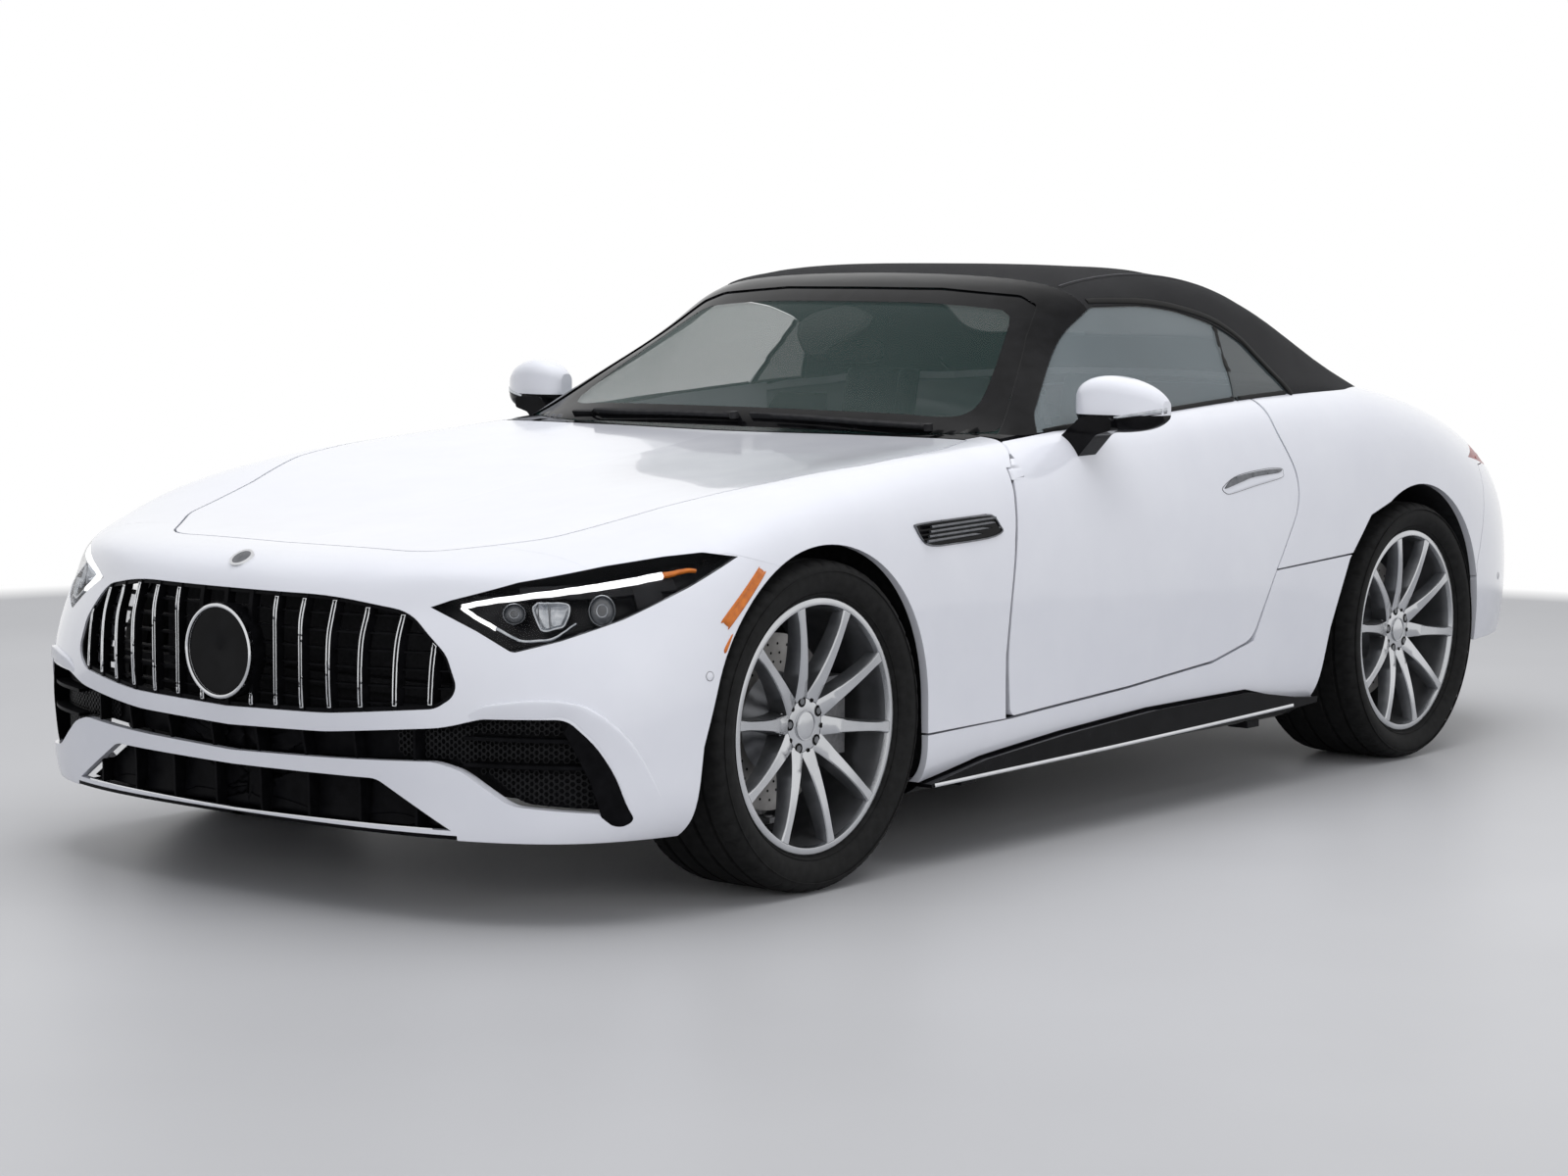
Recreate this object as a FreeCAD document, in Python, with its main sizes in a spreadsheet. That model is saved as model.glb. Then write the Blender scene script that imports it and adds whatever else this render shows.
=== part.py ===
import FreeCAD, Part
import Sketcher
import math
import os

V = FreeCAD.Vector
doc = FreeCAD.newDocument("Roadster")

# Driving dimensions, in millimetres, degrees and pieces
SIZES = [
    ("body_length", 4705.0), ("body_width", 1915.0), ("body_height", 1368.0),
    ("wheelbase", 2700.0), ("front_overhang", 885.0), ("ground_gap", 125.0),
    ("front_tyre_radius", 363.0), ("front_tyre_width", 275.0),
    ("rear_tyre_radius", 358.0), ("rear_tyre_width", 305.0),
    ("front_track", 1615.0), ("rear_track", 1585.0),
    ("rim_radius", 284.0), ("rim_bead_radius", 267.0), ("rim_wall", 9.0), ("rim_dish", 26.0),
    ("hub_radius", 78.0), ("hub_depth", 46.0), ("spoke_count", 10.0), ("spoke_width", 30.0),
    ("spoke_depth", 34.0), ("disc_radius", 195.0), ("disc_wall", 36.0),
    ("front_arch_gap", 24.0), ("front_arch_lift", 9.0), ("rear_arch_gap", 32.0),
    ("rear_arch_lift", 20.0), ("arch_wall", 12.0),
    ("panel_wall", 20.0), ("door_wall", 112.0), ("top_wall", 20.0), ("frame_wall", 34.0),
    ("glass_wall", 5.0), ("glass_inset", 4.0), ("shut_gap", 5.0), ("seam_gap", 3.0),
    ("seat_clearance", 0.3), ("pin_radius", 8.0), ("hinge_radius", 15.0),
    ("floor_wall", 14.0), ("tunnel_width", 220.0), ("tunnel_height", 230.0),
    ("slat_count", 15.0), ("slat_pitch", 76.0), ("slat_width", 11.0), ("badge_radius", 102.0),
    ("steering_wheel_radius", 182.0), ("steering_rim_radius", 15.0), ("column_rake", 24.0),
    ("seat_width", 500.0), ("engine_length", 520.0), ("engine_width", 480.0),
    ("engine_height", 455.0), ("exhaust_radius", 30.0), ("tailpipe_radius", 42.0),
    ("kingpin_radius", 12.0), ("axle_radius", 32.0),
]
sheet = doc.addObject("Spreadsheet::Sheet", "Sizes")
for row, (alias, number) in enumerate(SIZES, start=1):
    sheet.set("A%d" % row, alias)
    sheet.set("B%d" % row, repr(number))
    sheet.setAlias("B%d" % row, alias)
doc.recompute()


def size(alias):
    return float(sheet.get(alias))


# The body is drawn from the front axle, and stretched to the driving sizes.
DRAWN_FRONT, DRAWN_WHEELBASE, DRAWN_REAR = 885.0, 2700.0, 1120.0
DRAWN_HALF_WIDTH, DRAWN_HEIGHT = 957.5, 1368.0

front_axle = -size("body_length") / 2 + size("front_overhang")
rear_axle = front_axle + size("wheelbase")
rear_overhang = size("body_length") - size("front_overhang") - size("wheelbase")
wide = size("body_width") / 2 / DRAWN_HALF_WIDTH
tall = size("body_height") / DRAWN_HEIGHT


def along(y):
    """Where a drawn length lies on the car."""
    if y < 0:
        return front_axle + y * size("front_overhang") / DRAWN_FRONT
    if y <= DRAWN_WHEELBASE:
        return front_axle + y * size("wheelbase") / DRAWN_WHEELBASE
    return rear_axle + (y - DRAWN_WHEELBASE) * rear_overhang / DRAWN_REAR


def at(x, y, z):
    return V(x * wide, along(y), z * tall)


# Body sections, nose to tail, each from the bottom centre round the left side to the top centre
BODY = [
    [(0, -868, 440), (120, -868, 440), (190, -868, 452), (235, -868, 490), (245, -868, 530),
     (235, -868, 572), (215, -868, 598), (185, -868, 612), (145, -868, 619), (80, -868, 623),
     (0, -868, 624)],
    [(0, -848, 320), (220, -842, 320), (380, -828, 330), (470, -810, 395), (490, -803, 480),
     (475, -802, 580), (436, -796, 632), (386, -812, 660), (298, -834, 676), (170, -850, 686),
     (0, -855, 690)],
    [(0, -842, 205), (380, -822, 205), (600, -772, 215), (700, -735, 325), (722, -716, 480),
     (680, -700, 600), (632, -708, 656), (552, -736, 687), (434, -776, 710), (240, -808, 723),
     (0, -816, 727)],
    [(0, -800, 145), (480, -780, 145), (780, -675, 165), (858, -612, 330), (877, -591, 480),
     (834, -572, 625), (778, -596, 693), (680, -643, 724), (526, -695, 739), (270, -735, 747),
     (0, -742, 749)],
    [(0, -600, 135), (550, -590, 135), (885, -480, 165), (936, -420, 330), (946, -400, 480),
     (928, -393, 650), (882, -406, 730), (788, -444, 761), (588, -518, 767), (300, -580, 764),
     (0, -600, 760)],
    [(0, -250, 130), (600, -250, 130), (918, -250, 165), (948, -250, 330), (953, -250, 480),
     (954, -250, 665), (915, -250, 778), (800, -250, 822), (590, -250, 820), (300, -250, 808),
     (0, -250, 800)],
    [(0, 0, 130), (600, 0, 130), (918, 0, 165), (948, 0, 330), (954, 0, 500),
     (952, 0, 690), (922, 0, 818), (805, 0, 874), (600, 0, 864), (300, 0, 852), (0, 0, 842)],
    [(0, 320, 130), (600, 320, 130), (905, 320, 170), (940, 320, 330), (946, 320, 500),
     (945, 320, 700), (912, 320, 846), (805, 320, 909), (620, 320, 903), (300, 320, 892),
     (0, 320, 882)],
    [(0, 700, 130), (600, 700, 130), (890, 700, 180), (922, 700, 330), (926, 700, 500),
     (925, 700, 700), (895, 700, 858), (808, 700, 933), (640, 700, 938), (300, 700, 936),
     (0, 700, 930)],
    [(0, 1100, 130), (600, 1100, 130), (885, 1100, 185), (918, 1100, 330), (922, 1100, 500),
     (922, 1100, 700), (892, 1100, 868), (820, 1100, 960), (650, 1100, 980), (300, 1100, 985),
     (0, 1100, 985)],
    [(0, 1550, 130), (600, 1550, 130), (885, 1550, 190), (920, 1550, 330), (924, 1550, 500),
     (924, 1550, 710), (893, 1550, 885), (828, 1550, 988), (650, 1550, 1010), (300, 1550, 1015),
     (0, 1550, 1015)],
    [(0, 2000, 130), (600, 2000, 130), (895, 2000, 190), (932, 2000, 330), (938, 2000, 500),
     (938, 2000, 720), (905, 2000, 900), (836, 2000, 1012), (660, 2000, 1040), (300, 2000, 1050),
     (0, 2000, 1052)],
    [(0, 2380, 130), (600, 2380, 130), (905, 2380, 190), (948, 2380, 330), (951, 2380, 500),
     (950, 2380, 730), (922, 2380, 910), (835, 2380, 1026), (665, 2380, 1056), (300, 2380, 1072),
     (0, 2380, 1075)],
    [(0, 2700, 135), (600, 2700, 135), (905, 2700, 190), (948, 2700, 330), (954, 2700, 500),
     (951, 2700, 730), (918, 2700, 905), (820, 2700, 1008), (660, 2700, 1042), (300, 2700, 1064),
     (0, 2700, 1068)],
    [(0, 3050, 150), (600, 3050, 150), (885, 3050, 210), (932, 3050, 340), (942, 3050, 500),
     (936, 3050, 700), (890, 3050, 850), (790, 3050, 945), (640, 3050, 990), (300, 3050, 1020),
     (0, 3050, 1028)],
    [(0, 3380, 180), (550, 3380, 180), (820, 3370, 245), (872, 3360, 360), (884, 3350, 500),
     (872, 3350, 660), (815, 3360, 785), (720, 3380, 868), (580, 3400, 915), (280, 3420, 948),
     (0, 3425, 958)],
    [(0, 3620, 215), (480, 3610, 215), (690, 3590, 275), (748, 3580, 380), (762, 3575, 510),
     (745, 3575, 650), (690, 3590, 755), (610, 3610, 820), (490, 3635, 862), (245, 3660, 890),
     (0, 3668, 898)],
    [(0, 3768, 300), (380, 3763, 300), (520, 3750, 340), (580, 3743, 420), (595, 3738, 520),
     (580, 3738, 630), (530, 3748, 712), (460, 3760, 765), (370, 3773, 795), (190, 3786, 815),
     (0, 3790, 820)],
    [(0, 3820, 440), (200, 3820, 440), (300, 3820, 455), (345, 3820, 490), (355, 3820, 540),
     (345, 3820, 590), (315, 3820, 625), (270, 3820, 645), (200, 3820, 655), (100, 3820, 660),
     (0, 3820, 662)],
]

# Windscreen and roof sections, front to back, each from the top centre out and down to the side
ROOF_FLOOR = 820.0
ROOF = [
    [(0, 820, 950), (250, 820, 947), (450, 820, 938), (650, 820, 920), (770, 820, 905),
     (815, 820, 890), (835, 820, 872), (840, 820, 850), (840, 820, ROOF_FLOOR)],
    [(0, 950, 1040), (250, 950, 1036), (450, 950, 1022), (650, 950, 990), (768, 950, 962),
     (812, 950, 935), (832, 950, 900), (840, 950, 860), (840, 950, ROOF_FLOOR)],
    [(0, 1100, 1139), (250, 1100, 1134), (450, 1100, 1118), (600, 1100, 1092), (705, 1100, 1060),
     (755, 1100, 1022), (800, 1100, 980), (828, 1100, 935), (840, 1100, ROOF_FLOOR)],
    [(0, 1250, 1238), (250, 1250, 1232), (440, 1250, 1212), (555, 1250, 1185), (640, 1250, 1148),
     (700, 1250, 1098), (768, 1250, 1028), (826, 1250, 950), (840, 1250, ROOF_FLOOR)],
    [(0, 1375, 1308), (240, 1375, 1302), (420, 1375, 1285), (530, 1375, 1262), (608, 1375, 1228),
     (668, 1375, 1168), (748, 1375, 1068), (826, 1375, 960), (840, 1375, ROOF_FLOOR)],
    [(0, 1480, 1342), (240, 1480, 1338), (420, 1480, 1327), (530, 1480, 1309), (615, 1480, 1275),
     (672, 1480, 1206), (750, 1480, 1088), (826, 1480, 968), (840, 1480, ROOF_FLOOR)],
    [(0, 1650, 1367), (240, 1650, 1365), (430, 1650, 1354), (545, 1650, 1336), (630, 1650, 1300),
     (686, 1650, 1220), (760, 1650, 1095), (828, 1650, 978), (840, 1650, ROOF_FLOOR)],
    [(0, 1850, 1366), (240, 1850, 1365), (430, 1850, 1359), (552, 1850, 1344), (638, 1850, 1310),
     (694, 1850, 1222), (766, 1850, 1100), (828, 1850, 992), (840, 1850, ROOF_FLOOR)],
    [(0, 2100, 1338), (240, 2100, 1337), (430, 2100, 1333), (562, 2100, 1318), (652, 2100, 1283),
     (714, 2100, 1190), (785, 2100, 1085), (832, 2100, 1005), (845, 2100, ROOF_FLOOR)],
    [(0, 2350, 1272), (240, 2350, 1270), (430, 2350, 1264), (570, 2350, 1246), (672, 2350, 1204),
     (744, 2350, 1126), (800, 2350, 1058), (835, 2350, 1010), (848, 2350, ROOF_FLOOR)],
    [(0, 2600, 1158), (240, 2600, 1155), (430, 2600, 1144), (570, 2600, 1122), (680, 2600, 1088),
     (750, 2600, 1051), (800, 2600, 1018), (830, 2600, 980), (848, 2600, ROOF_FLOOR)],
    [(0, 2830, 1044), (240, 2830, 1040), (430, 2830, 1030), (560, 2830, 1014), (670, 2830, 990),
     (740, 2830, 966), (790, 2830, 940), (825, 2830, 905), (848, 2830, ROOF_FLOOR)],
]


def smooth_poles(points, start_fixed, end_fixed):
    """Control points of a uniform cubic that passes close to the points, flat at fixed ends."""
    first, last = points[0], points[-1]
    start = first + (points[1] - first) / 3
    end = last + (points[-2] - last) / 3
    for axis in start_fixed:
        start[axis] = first[axis]
    for axis in end_fixed:
        end[axis] = last[axis]
    inner = [points[i] - (points[i - 1] - points[i] * 2 + points[i + 1]) / 6
             for i in range(1, len(points) - 1)]
    return [first, start] + inner + [end, last]


def lofted(sections, across_fixed, along_fixed):
    """A smooth face through sections of points."""
    rows = [smooth_poles(points, *across_fixed) for points in sections]
    columns = [smooth_poles(list(column), *along_fixed) for column in zip(*rows)]
    poles = [list(row) for row in zip(*columns)]

    def knots(count):
        return [float(k) for k in range(count - 2)], [4] + [1] * (count - 4) + [4]

    u_knots, u_mults = knots(len(poles))
    v_knots, v_mults = knots(len(poles[0]))
    surface = Part.BSplineSurface()
    surface.buildFromPolesMultsKnots(poles, u_mults, v_mults, u_knots, v_knots, False, False, 3, 3)
    return surface.toShape()


def inset(sections, depth):
    """The sections moved inward by a depth, square to the surface."""
    moved = []
    count, width = len(sections), len(sections[0])
    for i in range(count):
        row = []
        for j in range(width):
            ahead = sections[min(i + 1, count - 1)][j] - sections[max(i - 1, 0)][j]
            across = sections[i][min(j + 1, width - 1)] - sections[i][max(j - 1, 0)]
            normal = ahead.cross(across)
            normal.normalize()
            point = sections[i][j] + normal * depth
            if j in (0, width - 1) and abs(sections[i][j].x) < 1e-6:
                point.x = 0
            row.append(point)
        moved.append(row)
    return moved


def flat_at(edge, axis, value):
    low, high = edge.FirstParameter, edge.LastParameter
    return all(abs(edge.valueAt(low + (high - low) * k / 4)[axis] - value) < 1e-4 for k in range(5))


def flat_edges(face, axis, value):
    return [edge for edge in face.Edges if flat_at(edge, axis, value)]


def joined(edges):
    return Part.Wire(Part.sortEdges(edges)[0])


def solid_of(faces):
    shell = Part.makeShell(faces)
    shell.sewShape()
    solid = Part.Solid(shell)
    if solid.Volume < 0:
        solid.reverse()
    return solid


def body_solid(depth):
    """The left half of the whole body form, inset by a depth."""
    sections = [[at(*p) for p in row] for row in BODY]
    nose = sections[0][0].y + depth
    tail = sections[-1][0].y - depth
    if depth:
        sections = inset(sections, -depth)
        for row, y in ((sections[0], nose), (sections[-1], tail)):
            for point in row:
                point.y = y
    face = lofted(sections, ((1, 2), (1, 2)), ((1,), (1,)))
    faces = [face]
    middle = flat_edges(face, 0, 0.0)
    for y in (nose, tail):
        rim = flat_edges(face, 1, y)
        ends = [v.Point for v in joined(rim).Vertexes if abs(v.Point.x) < 1e-6]
        chord = Part.makeLine(ends[0], ends[1])
        faces.append(Part.Face(joined(rim + [chord])))
        middle.append(chord)
    faces.append(Part.Face(joined(middle)))
    return solid_of(faces)


def roof_solid(depth):
    """The left half of the windscreen and roof form, inset by a depth."""
    sections = [[at(*p) for p in row] for row in ROOF]
    floor = sections[0][-1].z
    front, back = sections[0][0].y, sections[-1][0].y
    if depth:
        sections = inset(sections, depth)
        for row in sections:
            row[-1].z = floor
        for row, y in ((sections[0], front), (sections[-1], back)):
            for point in row:
                point.y = y
    face = lofted(sections, ((1, 2), (0, 1)), ((1,), (1,)))
    faces = [face]
    middle, bottom = flat_edges(face, 0, 0.0), flat_edges(face, 2, floor)
    for y, row in ((front, sections[0]), (back, sections[-1])):
        rim = flat_edges(face, 1, y)
        corner = V(0, y, floor)
        down, side = Part.makeLine(row[0], corner), Part.makeLine(corner, row[-1])
        faces.append(Part.Face(joined(rim + [down, side])))
        middle.append(down)
        bottom.append(side)
    spine = Part.makeLine(V(0, front, floor), V(0, back, floor))
    faces.append(Part.Face(joined(middle + [spine])))
    faces.append(Part.Face(joined(bottom + [spine])))
    return solid_of(faces)


def rounded(points, radius=0.0):
    """A closed outline through corners (point, radius), each rounded by an arc."""
    corners = [(V(*p[:3]), p[3] if len(p) > 3 else radius) for p in points]
    count = len(corners)
    starts, ends, arcs = [], [], []
    for i, (corner, r) in enumerate(corners):
        back = corners[i - 1][0] - corner
        ahead = corners[(i + 1) % count][0] - corner
        angle = back.getAngle(ahead)
        reach = r / math.tan(angle / 2) if r > 0 and angle < math.pi - 1e-3 else 0.0
        reach = min(reach, 0.49 * back.Length, 0.49 * ahead.Length)
        back.normalize()
        ahead.normalize()
        start, end = corner + back * reach, corner + ahead * reach
        starts.append(start)
        ends.append(end)
        if reach > 1e-6:
            r = reach * math.tan(angle / 2)
            middle = back + ahead
            middle.normalize()
            top = corner + middle * (r / math.sin(angle / 2) - r)
            arcs.append(Part.Arc(start, top, end).toShape())
        else:
            arcs.append(None)
    edges = []
    for i in range(count):
        if arcs[i]:
            edges.append(arcs[i])
        following = starts[(i + 1) % count]
        if (ends[i] - following).Length > 1e-6:
            edges.append(Part.makeLine(ends[i], following))
    return Part.Wire(edges)


def side_prism(points, x_low, x_high, radius=0.0):
    """A block with an outline seen from the side: drawn (y, z[, corner radius])."""
    wire = rounded([(x_low, along(p[0]), p[1] * tall) + tuple(p[2:]) for p in points], radius)
    return Part.Face(wire).extrude(V(x_high - x_low, 0, 0))


def side_slab(points, x_low, x_high, radius):
    """The same between two drawn sides."""
    return side_prism(points, x_low * wide, x_high * wide, radius)


def plan_prism(points, z_low, z_high, radius=0.0):
    """A block with an outline seen from above: drawn (x, y[, corner radius])."""
    wire = rounded([(p[0] * wide, along(p[1]), z_low) + tuple(p[2:]) for p in points], radius)
    return Part.Face(wire).extrude(V(0, 0, z_high - z_low))


def front_prism(points, y_low, y_high, radius=0.0):
    """A block with an outline seen from the front: drawn (x, z[, corner radius])."""
    start, end = along(y_low), along(y_high)
    wire = rounded([(p[0] * wide, start, p[1] * tall) + tuple(p[2:]) for p in points], radius)
    return Part.Face(wire).extrude(V(0, end - start, 0))


def slanted_prism(points, heading, origin, depth, radius=0.0):
    """A block with an outline (across, height) seen along a level heading in degrees from +X."""
    turn = math.radians(heading)
    ahead = V(math.cos(turn), math.sin(turn), 0)
    across = V(-ahead.y, ahead.x, 0)
    corners = []
    for p in points:
        spot = origin + across * p[0] + V(0, 0, p[1] * tall)
        corners.append((spot.x, spot.y, spot.z) + tuple(p[2:]))
    face = Part.Face(rounded(corners, radius))
    return face.extrude(ahead * depth)


def mirrored(shape):
    return shape.mirror(V(0, 0, 0), V(1, 0, 0))


def both(shape):
    return Part.makeCompound([shape, mirrored(shape)])


def across_both(shape):
    """A centre piece from its left half."""
    return shape.fuse(mirrored(shape))


def upright(x, y, z_low, z_high, radius):
    return Part.makeCylinder(radius, z_high - z_low, V(x, y, z_low))


def crosswise(y, z, radius, x_low, x_high):
    return Part.makeCylinder(radius, x_high - x_low, V(x_low, y, z), V(1, 0, 0))


def block(x_low, x_high, y_low, y_high, z_low, z_high):
    return Part.makeBox(x_high - x_low, y_high - y_low, z_high - z_low, V(x_low, y_low, z_low))


def span(x_low, x_high, y_low, y_high, z_low, z_high):
    """A block given in drawn sizes."""
    return block(x_low * wide, x_high * wide, along(y_low), along(y_high), z_low * tall, z_high * tall)


def solids_only(shape):
    """The solids of a boolean result, without loose faces."""
    found = [item for item in shape.Solids if item.Volume > 50.0]
    if len(found) == 1:
        return found[0]
    return Part.makeCompound(found)


nodes = []


def add(name, shape, placement=FreeCAD.Placement()):
    """A sub-part of the document with a shape of its own."""
    item = doc.addObject("Part::Feature", name)
    item.Label = name
    item.Shape = solids_only(shape)
    item.Placement = placement
    nodes.append(item)
    return item


# Forms that the panels are cut from
wall = size("panel_wall")
body_outer = body_solid(0)
skin = body_outer.cut(body_solid(wall))
door_layer = body_outer.cut(body_solid(size("door_wall")))
roof_outer = roof_solid(0)

half_width = size("body_width") / 2
gap = size("shut_gap")
seam = size("seam_gap")

# Wheel arches, drawn round each wheel
front_wheel_x = size("front_track") / 2
rear_wheel_x = size("rear_track") / 2
front_hub_z = size("front_tyre_radius")
rear_hub_z = size("rear_tyre_radius")
floor_low = -50.0
beyond = half_width + 200


def arch(end, y, hub_z, inner_x, flare, grow=0.0):
    """The space of one wheel arch: a round top, and sides that spread towards the ground."""
    radius = size(end + "_tyre_radius") + size(end + "_arch_gap") + grow
    z = hub_z + size(end + "_arch_lift")
    top = crosswise(y, z, radius, inner_x, beyond)
    outline = [(y + radius, z), (y + radius, floor_low)]
    outline += [(y + across * radius - 0.7 * grow, z + up * radius + 0.7 * grow) for across, up in flare]
    wire = Part.makePolygon([V(inner_x, *spot) for spot in outline + outline[:1]])
    return top.fuse(Part.Face(wire).extrude(V(beyond - inner_x, 0, 0)))


# Front edge of each arch, as shares of its radius: from the ground up to where it meets the round
FRONT_FLARE = [(-1.24, -1.08), (-1.10, -0.41), (-1.055, -0.02), (-0.95, 0.31)]
REAR_FLARE = [(-1.62, -1.09), (-1.41, -0.39), (-1.245, 0.07), (-1.005, 0.53), (-0.72, 0.818),
              (-0.43, 0.90)]
front_arch = arch("front", front_axle, front_hub_z, 480, FRONT_FLARE)
rear_arch = arch("rear", rear_axle, rear_hub_z, 560, REAR_FLARE)
rear_liner = arch("rear", rear_axle, rear_hub_z, 560, REAR_FLARE, size("arch_wall")).cut(rear_arch)

# Panel outlines
BONNET_PLAN = [(-20, -681), (390, -668, 150), (560, -460, 200), (640, -190, 300), (745, 60, 300),
               (788, 330, 300), (778, 660, 300), (748, 796), (-20, 808)]
LAMP_SIDE = [(-900, 60), (-900, 900), (-560, 900), (-560, 725), (-300, 758), (-160, 722),
             (-160, 60)]
DOOR_SIDE = [(878, 1080), (868, 948), (792, 883, 120), (776, 800, 200), (764, 724, 400),
             (741, 590, 400), (726, 456, 400), (735, 312, 20), (1251, 335, 800),
             (1644, 364, 300), (1830, 405, 90), (1936, 574, 500), (2075, 779, 160),
             (1992, 935, 120), (1988, 1003), (1988, 1080)]
SILL_SIDE = [(360, 304), (735, 306), (1251, 329), (1644, 358), (1840, 400), (1942, 576),
             (2330, 595), (2330, 150), (1988, 238), (1802, 276), (1334, 274), (952, 256),
             (614, 232), (345, 188)]
GRILLE_FRONT = [(0, 669), (300, 669, 900), (470, 642, 120), (560, 558, 80), (593, 480, 45),
                (545, 446, 60), (300, 424, 900), (0, 415)]
SLOT_FRONT = [(-20, 374), (287, 384, 600), (560, 408, 300), (640, 430, 80), (800, 434, 40),
              (843, 386, 200), (869, 320, 300), (885, 222, 20), (862, 204, 15), (842, 240, 8),
              (700, 254, 80), (600, 322, 120), (541, 337, 120), (274, 327, 600), (-20, 318)]
LOWER_FRONT = [(-20, 288), (405, 293, 60), (578, 196), (-20, 190)]


def mirrored_outline(points):
    """A closed outline from its left half, whose ends lie on the centre line."""
    return list(points) + [(-p[0],) + tuple(p[1:]) for p in reversed(points) if p[0] > 1e-6]


grille_hole = front_prism(mirrored_outline(GRILLE_FRONT), -950, -640)
slot_hole = front_prism(SLOT_FRONT, -950, -450)
lower_hole = front_prism(LOWER_FRONT, -950, -700)
bonnet_cutter = plan_prism(BONNET_PLAN, 640, 1100)
bonnet_space = plan_prism([(-20, -681 - gap), (392, -668 - gap, 150), (565, -463, 200),
                           (645, -192, 300), (750, 58, 300), (793, 330, 300), (783, 660, 300),
                           (750, 806), (-20, 818)], 640, 1100)
front_zone = side_prism(LAMP_SIDE, -10, beyond)
LAMP_OUTLINE = [(-259.6, 652), (-219.8, 667), (-85.1, 706), (93.2, 737), (220.9, 754),
                (304.1, 761, 60), (382.7, 750), (266.9, 693), (124.6, 633), (-7.4, 590),
                (-102.9, 565, 20), (-172.2, 607)]
LAMP_HEADING = -40.0
lamp_hole = slanted_prism(LAMP_OUTLINE, LAMP_HEADING, V(0, front_axle, 0), 1600)

# Hinge lines
DOOR_HINGE_X, DOOR_HINGE_Y = 868.0 * wide, along(812)
BONNET_HINGE_Y, BONNET_HINGE_Z = along(826), 938.0 * tall
BOOT_HINGE_Y, BOOT_HINGE_Z = along(2822), 985.0 * tall

door_cutter = side_prism(DOOR_SIDE, 796 * wide, beyond)
front_sweep = Part.Face(rounded([
    (DOOR_HINGE_X, DOOR_HINGE_Y, 300 * tall), (DOOR_HINGE_X + 114, DOOR_HINGE_Y, 300 * tall),
    (DOOR_HINGE_X + 114, DOOR_HINGE_Y, 456 * tall), (DOOR_HINGE_X + 99, DOOR_HINGE_Y, 590 * tall),
    (DOOR_HINGE_X + 80, DOOR_HINGE_Y, 724 * tall), (DOOR_HINGE_X + 62, DOOR_HINGE_Y, 804 * tall),
    (DOOR_HINGE_X + 34, DOOR_HINGE_Y, 890 * tall), (DOOR_HINGE_X, DOOR_HINGE_Y, 890 * tall)]))
front_sweep = front_sweep.revolve(V(DOOR_HINGE_X, DOOR_HINGE_Y, 0), V(0, 0, 1), 360)

# Scuttle under the windscreen
lug_x = 640.0 * wide
scuttle_plan = [(-20, 818), (740, 806), (745, 872), (788, 880), (788, 1010), (-20, 1010)]
scuttle_zone = plan_prism(scuttle_plan, 640, 1100)
scuttle = skin.common(scuttle_zone).cut(block(lug_x - 15, lug_x + 15, along(790), along(842), 800, 1100))

# Fenders
fender_zone = side_prism([(-700, 60), (-700, 1100), (866, 1100), (863, 950), (787, 885, 120),
                          (771, 800, 200), (759, 724, 400), (736, 590, 400), (721, 456, 400),
                          (729, 309), (356, 309), (330, 60)], 300, beyond)
fender = skin.common(fender_zone).cut(front_zone).cut(bonnet_space).cut(front_arch)
fender = fender.cut(front_sweep).cut(lamp_hole).cut(scuttle_zone)
VENT_SIDE = [(342, 772, 10), (360, 783, 10), (640, 791, 25), (680, 778, 20), (697, 745, 12),
             (480, 731, 10), (400, 732, 20)]
vent_hole = side_prism(VENT_SIDE, 700, beyond)
vent_layer = skin.common(vent_hole)
fender = fender.cut(vent_hole)
louvre_count = 5
vent = vent_layer.common(body_solid(6))
for k in range(louvre_count):
    z = (741 + 9.0 * k) * tall
    vent = vent.fuse(vent_layer.common(block(700, beyond, along(430), along(660), z, z + 4)))
fender = fender.fuse(vent)
fender = fender.cut(block(-10, 856 * wide, along(-950), along(4000), floor_low, 250))
add("fender_left", fender)
add("fender_right", mirrored(fender))

# Bonnet
bonnet_half = skin.common(bonnet_cutter)
lug = block(lug_x - 6, lug_x + 6, BONNET_HINGE_Y - 40, BONNET_HINGE_Y,
            BONNET_HINGE_Z - 12, BONNET_HINGE_Z + 2)
lug = lug.fuse(crosswise(BONNET_HINGE_Y, BONNET_HINGE_Z, 10, lug_x - 6, lug_x + 6))
small_pin = 5.0
lug = lug.cut(crosswise(BONNET_HINGE_Y, BONNET_HINGE_Z, small_pin + size("seat_clearance"),
                        lug_x - 10, lug_x + 10))
add("bonnet", across_both(bonnet_half.fuse(lug)))

# Front bumper
splitter = plan_prism([(-20, -900), (575, -900), (600, -700), (-20, -700)], 0, 186 * tall)
splitter = splitter.common(body_outer).cut(block(-10, beyond, along(-770), along(0), 0, 172 * tall))
bumper = skin.common(front_zone).cut(bonnet_space).cut(front_arch).cut(splitter)
bumper = bumper.cut(block(-10, beyond, along(-950), along(0), floor_low, 176 * tall))
bumper = bumper.cut(grille_hole).cut(slot_hole).cut(lower_hole).cut(lamp_hole)
bracket = block(600 * wide, 640 * wide, along(-790), front_axle - 690, 450, 480)
bumper = bumper.fuse(bracket.common(body_solid(wall)))
add("front_bumper", across_both(bumper))

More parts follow.
